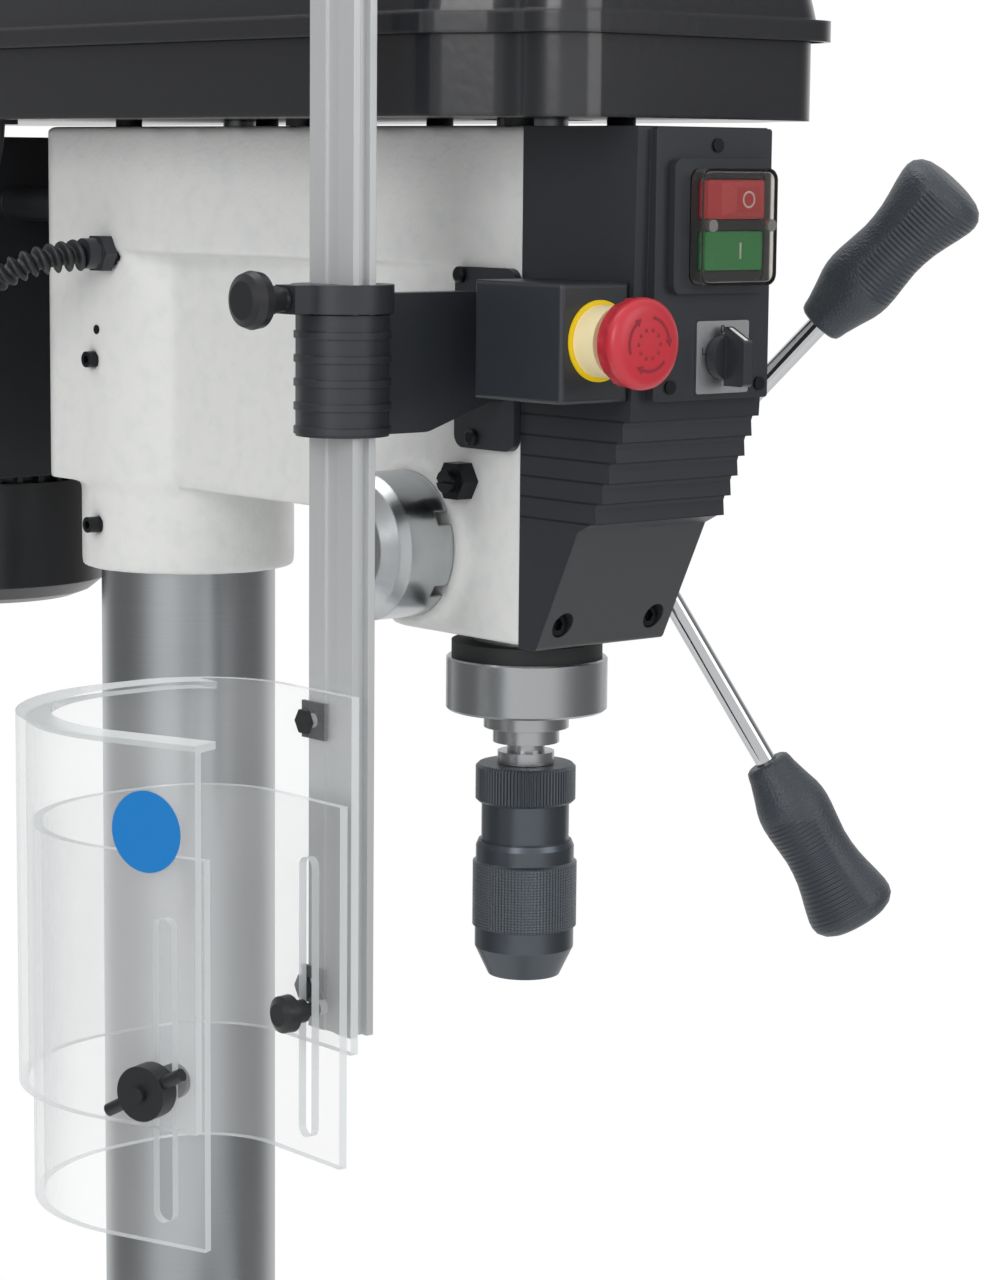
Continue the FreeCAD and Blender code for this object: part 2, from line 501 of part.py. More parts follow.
# ---- quill, spindle and keyless chuck -----------------------------------
q = turned([(0, QUILL_D / 2), (QUILL_TOP - QUILL_BOTTOM, QUILL_D / 2)], (0, SPINDLE_Y, QUILL_BOTTOM), (0, 0, 1))
q = q.fuse(turned([(0, COLLAR_D / 2 - 1), (1, COLLAR_D / 2), (QUILL_BOTTOM - COLLAR_BOTTOM - 0.8, COLLAR_D / 2),
                   (QUILL_BOTTOM - COLLAR_BOTTOM, COLLAR_D / 2 - 0.8)], (0, SPINDLE_Y, COLLAR_BOTTOM), (0, 0, 1)))
q = q.cut(rack_cuts(MODULE, SPINDLE_Y + QUILL_D / 2, FEED_Z - 8, FEED_Z + QUILL_STROKE + 12, FEED_Z,
                    -13, 13, -1))
q = q.cut(Part.makeCylinder(20 + FIT, 14, V(0, SPINDLE_Y, COLLAR_BOTTOM + 8)))
q = q.cut(Part.makeCylinder(19.6, 9, V(0, SPINDLE_Y, COLLAR_BOTTOM - 0.5)))
q = q.cut(Part.makeCylinder(20 + FIT, 14, V(0, SPINDLE_Y, QUILL_TOP - 13)))
q = q.cut(Part.makeCylinder(12, 300, V(0, SPINDLE_Y, COLLAR_BOTTOM - 1)))
q = q.cut(box(-30, -20.5, SPINDLE_Y - 2.5, SPINDLE_Y + 2.5, QUILL_BOTTOM + 30, QUILL_TOP - 20))
bumper = Part.makeCylinder(COLLAR_D / 2 - 2.4, 7.2, V(0, SPINDLE_Y, QUILL_BOTTOM))
bumper = bumper.cut(Part.makeCylinder(QUILL_D / 2 + FIT, 20, V(0, SPINDLE_Y, QUILL_BOTTOM - 1)))
save("quill_bumper", bumper)
brg = []
for z in (COLLAR_BOTTOM + 9, QUILL_TOP - 12.5):
    b = Part.makeCylinder(20, 12, V(0, SPINDLE_Y, z))
    brg.append(b.cut(Part.makeCylinder(SPINDLE_D / 2, 14, V(0, SPINDLE_Y, z - 1))))
save("quill", q, *brg)

zc = COLLAR_BOTTOM
sp = turned([(CHUCK_TOP - 16 - zc, 8), (CHUCK_TOP - zc, SPINDLE_D / 2), (-15.1, SPINDLE_D / 2), (-15.1, 15.2),
             (-8.2, 15.2), (-8.2, 19.5), (0.4, 19.5), (8.6, 18.5), (8.6, SPINDLE_D / 2 + 1.5),
             (9, SPINDLE_D / 2 + 1.5), (9, SPINDLE_D / 2),
             (QUILL_TOP + 2 - zc, SPINDLE_D / 2), (QUILL_TOP + 2 - zc, 7.5), (DATUM + 104 - zc, 7.5)],
            (0, SPINDLE_Y, zc), (0, 0, 1))
lock = Part.makeCylinder(13, 5.6, V(0, SPINDLE_Y, CHUCK_TOP + 0.2))
lock = lock.cut(Part.makeCylinder(SPINDLE_D / 2, 10, V(0, SPINDLE_Y, CHUCK_TOP - 1)))
save("spindle", sp, lock)

ct = CHUCK_TOP
CHUCK_CORE_R = 20.6
body = turned([(0, 21.6), (-1.3, 22.9), (-16.2, 22.9), (-17.5, 21.6), (-17.5, 20.05), (-35, 20.05),
               (-35, CHUCK_CORE_R), (-80, CHUCK_CORE_R), (-90, 16)], (0, SPINDLE_Y, ct), (0, 0, 1))
body = body.cut(turned([(-16, 8), (0, SPINDLE_D / 2)], (0, SPINDLE_Y, ct), (0, 0, 1)))
body = body.cut(Part.makeCylinder(7.2, 60, V(0, SPINDLE_Y, ct - 95)))
JAW_LEAN = 15.0          # jaw axes to the chuck axis
JAW_LENGTH = 24.0
JAW_TRAVEL = 24.0
jaws = []
for k in range(3):
    t = math.radians(90 + 120 * k)
    ux = math.cos(t)
    uy = math.sin(t)
    s = math.sin(math.radians(JAW_LEAN))
    c = math.cos(math.radians(JAW_LEAN))
    low = V(ux * 3.9, SPINDLE_Y + uy * 3.9, ct - 92)
    d = V(ux * s, uy * s, c)
    body = body.cut(Part.makeCylinder(3.6 + FIT, JAW_LENGTH + JAW_TRAVEL + 9, low - d * 8, d))
    jaw = Part.makeCylinder(3.6, JAW_LENGTH + 3, low - d * 3, d)
    wedge = slab([(0.5, 0, 0), (12, -19.5, 0), (24, 0, 0), (12, 19.5, 0)], ct - 140, ct - 20)
    wedge.rotate(V(0, 0, 0), V(0, 0, 1), 90 + 120 * k)
    wedge.translate(V(0, SPINDLE_Y, 0))
    jaw = jaw.common(wedge)
    jaws.append(jaw.cut(box(-20, 20, SPINDLE_Y - 20, SPINDLE_Y + 20, ct - 140, ct - 92)))
save("chuck_body", body)
for k in range(3):
    save("chuck_jaw_" + str(k + 1), jaws[k])
sl = turned([(-98, 16.5), (-85, 22.7), (-75.5, 22.7), (-75, 23.9), (-45.5, 23.9), (-44.5, 22.5),
             (-38, 22.5), (-35.4, 21.4)], (0, SPINDLE_Y, ct), (0, 0, 1))
sl = sl.cut(turned([(-90.4, 16.2), (-80.2, CHUCK_CORE_R + FIT), (-30, CHUCK_CORE_R + FIT)],
                   (0, SPINDLE_Y, ct), (0, 0, 1)))
sl = sl.cut(Part.makeCylinder(11, 40, V(0, SPINDLE_Y, ct - 100)))
save("chuck_sleeve", sl)

# ---- quill feed: pinion shaft, hub, spokes, grips, depth ring ------------
shaft = gear_prism(MODULE, PINION_TEETH, (FEED_Y, FEED_Z), -14, 14, 180)
shaft = shaft.fuse(rod(PITCH_R + MODULE, (14, FEED_Y, FEED_Z), (46, FEED_Y, FEED_Z)))
shaft = shaft.fuse(rod(PITCH_R + MODULE, (-40, FEED_Y, FEED_Z), (-14, FEED_Y, FEED_Z)))
shaft = shaft.fuse(rod(10, (46, FEED_Y, FEED_Z), (HUB_X + 26, FEED_Y, FEED_Z)))
shaft = shaft.fuse(rod(6, (-80, FEED_Y, FEED_Z), (-40, FEED_Y, FEED_Z)))
save("feed_shaft", shaft)
ring = turned([(0, 33), (1.5, 35), (14, 35), (15, 33.5)], (46.5, FEED_Y, FEED_Z), (1, 0, 0))
ring = ring.cut(rod(10 + FIT, (40, FEED_Y, FEED_Z), (70, FEED_Y, FEED_Z)))
ring = ring.fuse(rod(4, (54, FEED_Y, FEED_Z + 34), (54, FEED_Y, FEED_Z + 40)))
ring = ring.fuse(rod(6, (54, FEED_Y, FEED_Z + 40), (54, FEED_Y, FEED_Z + 50)))
save("depth_ring", ring)
hub = turned([(0, 21), (2, 23), (42, 23), (58, 17), (62, 12)], (HUB_X - 32, FEED_Y, FEED_Z), (1, 0, 0))
hub = hub.cut(rod(10, (50, FEED_Y, FEED_Z), (HUB_X + 26, FEED_Y, FEED_Z)))
rods = []
grips = []
lean = math.radians(SPOKE_LEAN)
for k in range(3):
    t = math.radians(SPOKE_TURN + 120 * k)
    d = V(math.sin(lean), math.cos(lean) * math.sin(t), math.cos(lean) * math.cos(t))
    o = V(HUB_X, FEED_Y, FEED_Z)
    spoke = Part.makeCylinder(ROD_D / 2, SPOKE_TIP - 29 + 12, o + d * 17, d)
    hub = hub.cut(Part.makeCylinder(ROD_D / 2, 80, o + d * 17, d))
    rods.append(spoke)
    g = o + d * (GRIP_START + 4)
    grip = turned([(0, 10), (2, 11.4), (6, 12.2), (20, 16.6), (28, 17.7), (36, 17.2), (48, 16), (58, 16.7),
                   (70, 19.4), (80, 21.6), (85, 21), (89, 17.4), (91, 11)], (g.x, g.y, g.z), (d.x, d.y, d.z))
    grips.append(grip.cut(spoke))
save("feed_hub", hub)
save("feed_spokes", *rods)
save("feed_grips", *grips)

# ---- quill return spring under its cap -----------------------------------
cap = turned([(0, 16), (1.5, 22), (6, 30), (10, 33.4), (34, 33.4)], (-75.9, FEED_Y, FEED_Z), (1, 0, 0))
cap = cap.cut(turned([(2, 15), (3, 21), (7.5, 29), (11, 32), (35, 32)], (-75.9, FEED_Y, FEED_Z), (1, 0, 0)))
cap = cap.cut(rod(6 + GAP, (-80, FEED_Y, FEED_Z), (-60, FEED_Y, FEED_Z)))
for a in (25, -35, 95, 145, 205, 265):
    t = math.radians(a)
    c = V(-46, FEED_Y - 33 * math.cos(t), FEED_Z + 33 * math.sin(t))
    notch = box(-3.5, 5, -3.2, 3.2, -3.2, 3.2)
    notch.rotate(V(0, 0, 0), V(1, 0, 0), -a)
    notch.translate(c)
    cap = cap.cut(notch)
pts = []
for k in range(0, 4 * 360 + 1, 15):
    t = math.radians(k)
    r = 8.5 + 20.5 * k / (4 * 360.0)
    pts.append(V(-68, FEED_Y + r * math.cos(t), FEED_Z + r * math.sin(t)))
inner_pts = []
for k in range(4 * 360, -1, -15):
    t = math.radians(k)
    r = 7.7 + 20.5 * k / (4 * 360.0)
    inner_pts.append(V(-68, FEED_Y + r * math.cos(t), FEED_Z + r * math.sin(t)))
strip = Part.makePolygon(pts + inner_pts + [pts[0]])
spring = Part.Face(strip).extrude(V(16, 0, 0))
save("return_spring", spring)
nut = turned([(0, 8.5), (1.5, 10), (8, 10)], (-85.4, FEED_Y, FEED_Z), (1, 0, 0))
nut = nut.cut(rod(6, (-82, FEED_Y, FEED_Z), (-70, FEED_Y, FEED_Z)))
save("spring_cap", cap, nut)


# ---- belt cover: pan and hinged lid --------------------------------------
def cover_points(off):
    w = COVER_HALF + off
    n = COVER_NOSE_HALF + off
    f = COVER_FRONT - off
    b = COVER_REAR + off
    right = [(n, f, 22), (n, -342 - off * 0.4, 26), (w, -310 - off * 0.4, 26), (w, b, 60)]
    left = [(-x, y, r) for x, y, r in reversed(right)]
    return right + left


pan = slab(cover_points(0), PAN_Z, PAN_TOP)
pan = pan.cut(slab(cover_points(-SHEET), PAN_Z + SHEET, PAN_TOP + 1))
pan = pan.cut(Part.makeCylinder(27, 20, V(0, SPINDLE_Y, PAN_Z - 5)))
pan = pan.cut(Part.makeCylinder(9, 20, V(0, IDLER_Y, PAN_Z - 5)))
pan = pan.cut(slab(rect(-14, 14, MOTOR_Y - 40, MOTOR_Y + 14, 13.9), PAN_Z - 5, PAN_Z + 9))
pan = pan.cut(Part.makeCylinder(6.5, 20, V(-72, 62, PAN_Z - 5)))
pan = pan.cut(box(-100, -90, -262, -240, DATUM + 40, DATUM + 46))
for x, y in FEET:
    pan = pan.cut(Part.makeCylinder(2.5 + FIT, 20, V(x, y, PAN_Z - 5)))
HINGE_Z = PAN_TOP + 2.0
HINGE_Y = COVER_REAR + 12.0
for x in (-52, 28):
    k = box(x, x + 24, COVER_REAR - 1, HINGE_Y, HINGE_Z - 5, HINGE_Z + 0)
    k = k.fuse(rod(4.5, (x, HINGE_Y, HINGE_Z), (x + 24, HINGE_Y, HINGE_Z)))
    pan = pan.fuse(k.cut(slab(cover_points(-0.5), HINGE_Z - 8, HINGE_Z + 8)))
pan = pan.cut(rod(2.5, (-60, HINGE_Y, HINGE_Z), (60, HINGE_Y, HINGE_Z)))
feet = []
for x, y in FEET:
    f = Part.makeCylinder(6.5, PAN_Z - HEAD_TOP, V(x, y, HEAD_TOP))
    f = f.fuse(Part.makeCylinder(2.5, 17, V(x, y, HEAD_TOP - 10)))
    f = f.fuse(Part.makeCylinder(5, 2.6, V(x, y, PAN_Z + SHEET)))
    feet.append(f)
grommet = Part.makeCylinder(6.4, 6, V(-72, 62, PAN_Z - 2))
grommet = grommet.fuse(Part.makeCylinder(9.5, 2, V(-72, 62, PAN_Z - 2)))
grommet = grommet.fuse(Part.makeCylinder(9.5, 2, V(-72, 62, PAN_Z + SHEET)))
grommet = grommet.cut(Part.makeCylinder(3.6, 20, V(-72, 62, PAN_Z - 8)))
feet.append(grommet)
save("pan_feet", *feet)


def lofted(off0, z0, off1, z1):
    w0 = outline(cover_points(off0), lambda p: V(p.x, p.y, z0))
    w1 = outline(cover_points(off1), lambda p: V(p.x, p.y, z1))
    return Part.makeLoft([w0, w1], True, True)


lid = slab(cover_points(LIP_OUT), LID_LIP, LID_LIP + 9)
lid = lid.fuse(lofted(1.5, LID_LIP + 9, -9, LID_TOP - 8))
lid = lid.fuse(lofted(-9, LID_TOP - 8, -20, LID_TOP))
hollow = slab(cover_points(LIP_OUT - SHEET), LID_LIP - 1, LID_LIP + 7)
hollow = hollow.fuse(lofted(1.5 - SHEET, LID_LIP + 7, -9 - SHEET, LID_TOP - 9))
hollow = hollow.fuse(lofted(-9 - SHEET, LID_TOP - 9, -22, LID_TOP - SHEET))
lid = lid.cut(hollow)
lid = lid.cut([box(-54, -26, COVER_REAR - 1.4, HINGE_Y + 9, LID_LIP - 2, HINGE_Z + 5.2),
               box(26, 54, COVER_REAR - 1.4, HINGE_Y + 9, LID_LIP - 2, HINGE_Z + 5.2)])
knuckle = rod(4.5, (-26.4, HINGE_Y, HINGE_Z), (26.4, HINGE_Y, HINGE_Z))
knuckle = knuckle.fuse(box(-26, 26, COVER_REAR + 4, HINGE_Y, HINGE_Z - 2, HINGE_Z + 3))
lid = lid.fuse(knuckle.cut(rod(2.5 + FIT, (-60, HINGE_Y, HINGE_Z), (60, HINGE_Y, HINGE_Z))))
save("belt_lid", lid)
pin = rod(2.5, (-56, HINGE_Y, HINGE_Z), (56, HINGE_Y, HINGE_Z))
save("belt_pan", pan, pin)

# ---- step pulleys and V-belts --------------------------------------------
SPINDLE_STEPS = (62.0, 52.0, 42.0, 32.0)
IDLER_STEPS = (32.0, 42.0, 52.0, 62.0)
MOTOR_STEPS = (50.0, 40.0, 30.0)
GROOVE = 4.0


def pulley(steps, x, y, z, bore, hub_r, hub_z):
    prof = [(hub_z - z, hub_r), (0, hub_r)]
    for i, r in enumerate(steps):
        a = STEP_H * i
        prof += [(a, r + GROOVE), (a + 2.5, r + GROOVE), (a + 5.0, r - GROOVE), (a + 12.0, r - GROOVE),
                 (a + 14.5, r + GROOVE), (a + STEP_H, r + GROOVE)]
    p = turned(prof, (x, y, z), (0, 0, 1))
    return p.cut(Part.makeCylinder(bore, 300, V(x, y, hub_z - 2)))


def belt(y0, r0, y1, r1, zc):
    # loop round two pulleys on the x = 0 plane, trapezoid made as a slab
    d = y1 - y0
    a = math.asin((r1 - r0) / d)

    def loop(grow):
        p0 = r0 + grow
        p1 = r1 + grow
        s0 = V(p0 * math.cos(a), y0 - p0 * math.sin(a), 0)
        s1 = V(p1 * math.cos(a), y1 - p1 * math.sin(a), 0)
        e0 = V(-s0.x, s0.y, 0)
        e1 = V(-s1.x, s1.y, 0)
        edges = [Part.LineSegment(s0, s1).toShape(),
                 Part.Arc(s1, V(0, y1 + p1, 0), e1).toShape(),
                 Part.LineSegment(e1, e0).toShape(),
                 Part.Arc(e0, V(0, y0 - p0, 0), s0).toShape()]
        return Part.Face(Part.Wire(edges))
    outer = loop(3.2).extrude(V(0, 0, 6.6))
    inner = loop(-3.2).extrude(V(0, 0, 6.6))
    b = outer.cut(inner)
    b.translate(V(0, 0, zc - 3.3))
    return b


sleeve_z = DATUM - 6.0
sp_pulley = pulley(SPINDLE_STEPS, 0, SPINDLE_Y, STEP_Z, 7.5 + FIT, 16, sleeve_z)
save("spindle_pulley", sp_pulley)
b = Part.makeCylinder(QUILL_D / 2, 20, V(0, SPINDLE_Y, sleeve_z))
b = b.cut(Part.makeCylinder(16 + FIT, 60, V(0, SPINDLE_Y, sleeve_z - 5)))
id_pulley = pulley(IDLER_STEPS, 0, IDLER_Y, STEP_Z, 8 + FIT, 14, STEP_Z - 3)
save("idler_pulley", id_pulley)
post = Part.makeCylinder(8, STEP_Z + 4 * STEP_H - DATUM + 15, V(0, IDLER_Y, DATUM - 12))
save("pulley_supports", b, post)
mo_pulley = pulley(MOTOR_STEPS, 0, MOTOR_Y, STEP_Z + STEP_H, 9.5 + FIT, 18, STEP_Z + STEP_H - 4)
save("motor_pulley", mo_pulley)
b1 = belt(SPINDLE_Y, SPINDLE_STEPS[1], IDLER_Y, IDLER_STEPS[1], STEP_Z + 1.5 * STEP_H)
b2 = belt(IDLER_Y, IDLER_STEPS[3], MOTOR_Y, MOTOR_STEPS[2], STEP_Z + 3.5 * STEP_H)
save("drive_belts", b1, b2)

# ---- motor on its sliding plate -------------------------------------------
mplate = front_slab(rect(-80, 80, DATUM - 165, DATUM + 12, 10), 96, 106)
for sx in (-1, 1):
    mplate = mplate.fuse(rod(9, (sx * 41, -40, DATUM - 22), (sx * 41, 98, DATUM - 22)))
save("motor_plate", mplate)
ribs = []
n = 36
for k in range(n):
    for off, r in ((-0.5, MOTOR_R - 8), (-0.16, MOTOR_R - 7.5), (-0.12, MOTOR_R - 1), (0.12, MOTOR_R - 1),
                   (0.16, MOTOR_R - 7.5)):
        t = 2 * math.pi * (k + off) / n
        ribs.append(V(r * math.cos(t), MOTOR_Y + r * math.sin(t), DATUM - 173))
ribs.append(ribs[0])
mbody = Part.Face(Part.makePolygon(ribs)).extrude(V(0, 0, 143))
mbody = mbody.fuse(turned([(0, MOTOR_R), (10, MOTOR_R), (14, MOTOR_R - 8), (16, 24)],
                          (0, MOTOR_Y, DATUM - 32), (0, 0, 1)))
mbody = mbody.fuse(box(-36, 36, 106, 160, DATUM - 150, DATUM - 34))
mbody = mbody.fuse(box(-100, -40, MOTOR_Y - 45, MOTOR_Y + 45, DATUM - 120, DATUM - 40))
mbody = mbody.fuse(Part.makeCylinder(9.5, 110, V(0, MOTOR_Y, DATUM - 17)))
for x, z in ((-72, -100), (-88, -72)):
    mbody = mbody.cut(rod(4.5, (x, MOTOR_Y - 50, DATUM + z), (x, MOTOR_Y - 8, DATUM + z)))
save("motor_body", mbody)
fan = turned([(0, 58), (3, 66), (10, MOTOR_R + 1.5), (66, MOTOR_R + 1.5)], (0, MOTOR_Y, DATUM - 240), (0, 0, 1))
fan = fan.cut(turned([(2, 57), (5, 65), (12, MOTOR_R - 0.5), (67, MOTOR_R - 0.5)],
                     (0, MOTOR_Y, DATUM - 240), (0, 0, 1)))
fan = fan.fuse(turned([(0, MOTOR_R + 1.5), (3, MOTOR_R + 1.5)], (0, MOTOR_Y, DATUM - 176), (0, 0, 1)))
for k in range(8):
    s = box(18, 46, -3, 3, DATUM - 245, DATUM - 230)
    s.rotate(V(0, 0, 0), V(0, 0, 1), 45 * k)
    s.translate(V(0, MOTOR_Y, 0))
    fan = fan.cut(s)
save("motor_fan_cover", fan)

# ---- guard: bracket, clamp ring, rail, two clear shields -------------------
brk = side_slab(rect(-303.6, -263, DATUM - 124, DATUM - 44.4, 6), -41.5, -NOSE_HALF)
brk = brk.fuse(front_slab([(-40, DATUM - 54, 0), (RAIL_X, DATUM - 54, 0), (RAIL_X, DATUM - 113.5, 0),
                           (-84, DATUM - 113.5, 14), (-50, DATUM - 102, 10), (-40, DATUM - 102, 0)], -297, -286))
brk = brk.fuse(Part.makeCylinder(19.8, 51, V(RAIL_X, RAIL_Y, DATUM - 113.5)))
for k in range(5):
    brk = brk.fuse(Part.makeCylinder(20.6, 3.0, V(RAIL_X, RAIL_Y, DATUM - 113.5 + 10 * k + 1)))
brk = brk.cut(Part.makeCylinder(17.2, 80, V(RAIL_X, RAIL_Y, DATUM - 120)))
brk = brk.cut(Part.makeCylinder(23.0, 20, V(RAIL_X, RAIL_Y, DATUM - 62.1)))
for y, z in ((-276, -119), (-267, -48)):
    brk = brk.cut(rod(2 + FIT, (-45, y, DATUM + z), (-30, y, DATUM + z)))
save("guard_bracket", brk)


def rail_block(grow):
    return (RAIL_X - RAIL_W / 2 - grow, RAIL_X + RAIL_W / 2 + grow, RAIL_Y - RAIL_D / 2 - grow,
            RAIL_Y + RAIL_D / 2 + grow)


clamp = Part.makeCylinder(21.8, 12, V(RAIL_X, RAIL_Y, DATUM - 62))
clamp = clamp.fuse(box(RAIL_X - 30, RAIL_X, RAIL_Y - 7, RAIL_Y + 7, DATUM - 62, DATUM - 50))
x0, x1, y0, y1 = rail_block(FIT)
clamp = clamp.cut(box(x0, x1, y0, y1, DATUM - 70, DATUM - 40))
clamp = clamp.cut(rod(3 + FIT, (RAIL_X - 40, RAIL_Y, DATUM - 56), (RAIL_X, RAIL_Y, DATUM - 56)))
save("guard_clamp", clamp)
kn = turned([(0, 8), (1.5, 11), (5, 12.2), (9, 11.6), (12, 7), (20, 5), (22, 5)],
            (RAIL_X - 52.5, RAIL_Y, DATUM - 56), (1, 0, 0))
kn = kn.fuse(rod(3, (RAIL_X - 31, RAIL_Y, DATUM - 56), (RAIL_X - RAIL_W / 2 - 0.3, RAIL_Y, DATUM - 56)))
save("clamp_knob", kn)
x0, x1, y0, y1 = rail_block(0)
rail = box(x0, x1, y0, y1, RAIL_BOTTOM, RAIL_TOP)
rail = rail.cut([box(x0 - 1, x0 + 1.0, RAIL_Y - 4, RAIL_Y + 4, RAIL_BOTTOM - 1, RAIL_TOP + 1),
                 box(RAIL_X - 2.6, RAIL_X + 2.6, y0 - 1, y0 + 3.5, RAIL_BOTTOM - 1, RAIL_TOP + 1),
                 box(RAIL_X - 2.6, RAIL_X + 2.6, y1 - 3.5, y1 + 1, RAIL_BOTTOM - 1, RAIL_TOP + 1)])
save("guard_rail", rail)

LEG_X = -134.6           # flat leg of the upper shield, centre plane
ARC_X = -196.0
ARC_Y = -298.0


def shield(inset, z0, z1, t):
    # J-shaped wall: flat leg at the rail, back corner, big bend, front leg
    def path(off):
        lx = LEG_X - inset + off
        ra = 80.0 - inset + off
        rc = 44.0 - inset + off
        by = -218.0 - inset + off
        cx = LEG_X - 44.0
        cy = by - rc
        a = math.radians(200)
        end = V(ARC_X + ra * math.cos(a), ARC_Y + ra * math.sin(a), 0)
        leg = end + V(-math.sin(a), math.cos(a), 0) * 46
        start = V(lx, -312, 0)
        c1 = V(lx, cy, 0)
        m1 = V(cx + rc * math.cos(math.radians(45)), cy + rc * math.sin(math.radians(45)), 0)
        c2 = V(cx, by, 0)
        c3 = V(ARC_X, by, 0)
        m2 = V(ARC_X + ra * math.cos(math.radians(145)), ARC_Y + ra * math.sin(math.radians(145)), 0)
        return [start, c1, m1, c2, c3, m2, end, leg]

    def edges(p):
        return [Part.LineSegment(p[0], p[1]).toShape(), Part.Arc(p[1], p[2], p[3]).toShape(),
                Part.LineSegment(p[3], p[4]).toShape(), Part.Arc(p[4], p[5], p[6]).toShape(),
                Part.LineSegment(p[6], p[7]).toShape()]
    po = path(t / 2)
    pi = path(-t / 2)
    chain = edges(po)
    chain.append(Part.LineSegment(po[7], pi[7]).toShape())
    back = edges(pi)
    back.reverse()
    chain += back
    chain.append(Part.LineSegment(pi[0], po[0]).toShape())
    w = Part.Wire(Part.__sortEdges__(chain))
    s = Part.Face(w).extrude(V(0, 0, z1 - z0))
    s.translate(V(0, 0, z0))
    return s, po, pi


upper, upo, upi = shield(0.0, GUARD_BOTTOM, GUARD_TOP, GUARD_T)
lip, lpo, lpi = shield(5.0, GUARD_TOP - 3, GUARD_TOP, GUARD_T + 10)
upper = upper.fuse(lip.common(box(-400, LEG_X - 20, -400, -100, GUARD_TOP - 5, GUARD_TOP + 5)))
lower, lwo, lwi = shield(6.0, LOWER_BOTTOM, LOWER_TOP, GUARD_T)
a200 = math.radians(200)
nrm = V(math.cos(a200), math.sin(a200), 0)
tan = V(-math.sin(a200), math.cos(a200), 0)
leg_mid = V(ARC_X, ARC_Y, 0) + nrm * 80 + tan * 26
stud_base = leg_mid - nrm * 12
upper = upper.cut(Part.makeCylinder(3.2, 30, V(stud_base.x, stud_base.y, STUD_Z), nrm))
knob_y = -288.0
upper = upper.cut(rod(3.2, (LEG_X - 5, knob_y, STUD_Z), (LEG_X + 5, knob_y, STUD_Z)))
for z in (DATUM - 236, DATUM - 352):
    upper = upper.cut(rod(3.2, (LEG_X - 5, -280, z), (LEG_X + 5, -280, z)))
SLOT_LOW = DATUM - 416.0
SLOT_HIGH = DATUM - 293.0


def slot_cut(mid, direction):
    across = V(-direction.y, direction.x, 0)
    w = outline([(-4.5, SLOT_LOW, 4.4), (4.5, SLOT_LOW, 4.4), (4.5, SLOT_HIGH, 4.4), (-4.5, SLOT_HIGH, 4.4)],
                lambda p: V(mid.x + across.x * p.x, mid.y + across.y * p.x, p.y) - direction * 14)
    return Part.Face(w).extrude(direction * 28)


lower = lower.cut([slot_cut(leg_mid, nrm), slot_cut(V(LEG_X, knob_y, 0), V(1, 0, 0))])
save("guard_upper", upper)
save("guard_lower", lower)
gb = []
for z in (DATUM - 236, DATUM - 352):
    s = rod(3, (LEG_X - 3, -280, z), (x0, -280, z))
    s = s.fuse(hexagon(10, (LEG_X - GUARD_T / 2 - 1.6, -280, z), (1, 0, 0), 1.6))
    s = s.fuse(box(LEG_X + GUARD_T / 2, x0, -288, -272, z - 8, z + 8))
    s = s.cut(rod(3.2, (LEG_X - 10, knob_y, STUD_Z), (x0, knob_y, STUD_Z)))
    gb.append(s)
save("guard_bolts", *gb)
st = Part.makeCylinder(3, 27, V(leg_mid.x, leg_mid.y, STUD_Z) - nrm * 13, nrm)
st = st.fuse(Part.makeCylinder(7, 3, V(leg_mid.x, leg_mid.y, STUD_Z) - nrm * 13, nrm))
wing = Part.makeCylinder(11, 9, V(leg_mid.x, leg_mid.y, STUD_Z) + nrm * 2.3, nrm)
wdir = V(tan.x, tan.y, 0.55)
wdir.normalize()
for s in (-1, 1):
    blade = Part.makeCylinder(2.6, 11, V(leg_mid.x, leg_mid.y, STUD_Z) + nrm * 8 + wdir * (s * 9), wdir * s)
    wing = wing.fuse(blade)
save("wing_nut", st.fuse(wing))
sk = rod(3, (LEG_X - 16, knob_y, STUD_Z), (LEG_X + 2.2, knob_y, STUD_Z))
sk = sk.fuse(turned([(0, 5), (2, 8), (7, 8.2), (9, 5), (14, 5)], (LEG_X - 23, knob_y, STUD_Z), (1, 0, 0)))
save("slide_knob", sk)

# ---- cable gland and the two cables ----------------------------------------
gland = hexagon(17, (-62.5, -10, DATUM - 45), (1, 0, 0), 6.5)
gland = gland.fuse(rod(6, (-56, -10, DATUM - 45), (-46, -10, DATUM - 45)))
gland = gland.fuse(rod(7.5, (-70, -10, DATUM - 45), (-62.5, -10, DATUM - 45)))
gland = gland.cut(rod(3.5, (-75, -10, DATUM - 45), (-40, -10, DATUM - 45)))
save("cable_gland", gland)


def route(points, r):
    # runs joined by the largest tangent arcs that fit, swept by a round section
    v = [V(*p) for p in points]
    n = len(v)
    edges = []
    cur = v[0]
    radii = []
    for i in range(1, n - 1):
        a = v[i] - v[i - 1]
        b = v[i + 1] - v[i]
        turn = a.getAngle(b)
        bend = 0.45 * min(a.Length, b.Length) / math.tan(turn / 2.0)
        t = bend * math.tan(turn / 2.0)
        a.normalize()
        b.normalize()
        s = v[i] - a * t
        e = v[i] + b * t
        h = b - a
        h.normalize()
        m = v[i] + h * (bend / math.cos(turn / 2.0) - bend)
        edges.append(Part.LineSegment(cur, s).toShape())
        edges.append(Part.Arc(s, m, e).toShape())
        radii.append(round(bend, 1))
        cur = e
    edges.append(Part.LineSegment(cur, v[-1]).toShape())
    spine = Part.Wire(edges)
    d0 = v[1] - v[0]
    prof = Part.Wire([Part.makeCircle(r, v[0], d0)])
    solid = spine.makePipeShell([prof], True, False)
    length = spine.Length
    print("cable length", round(length, 1), "radii", radii, "volume ratio",
          round(solid.Volume / (math.pi * r * r * length), 4))
    return solid


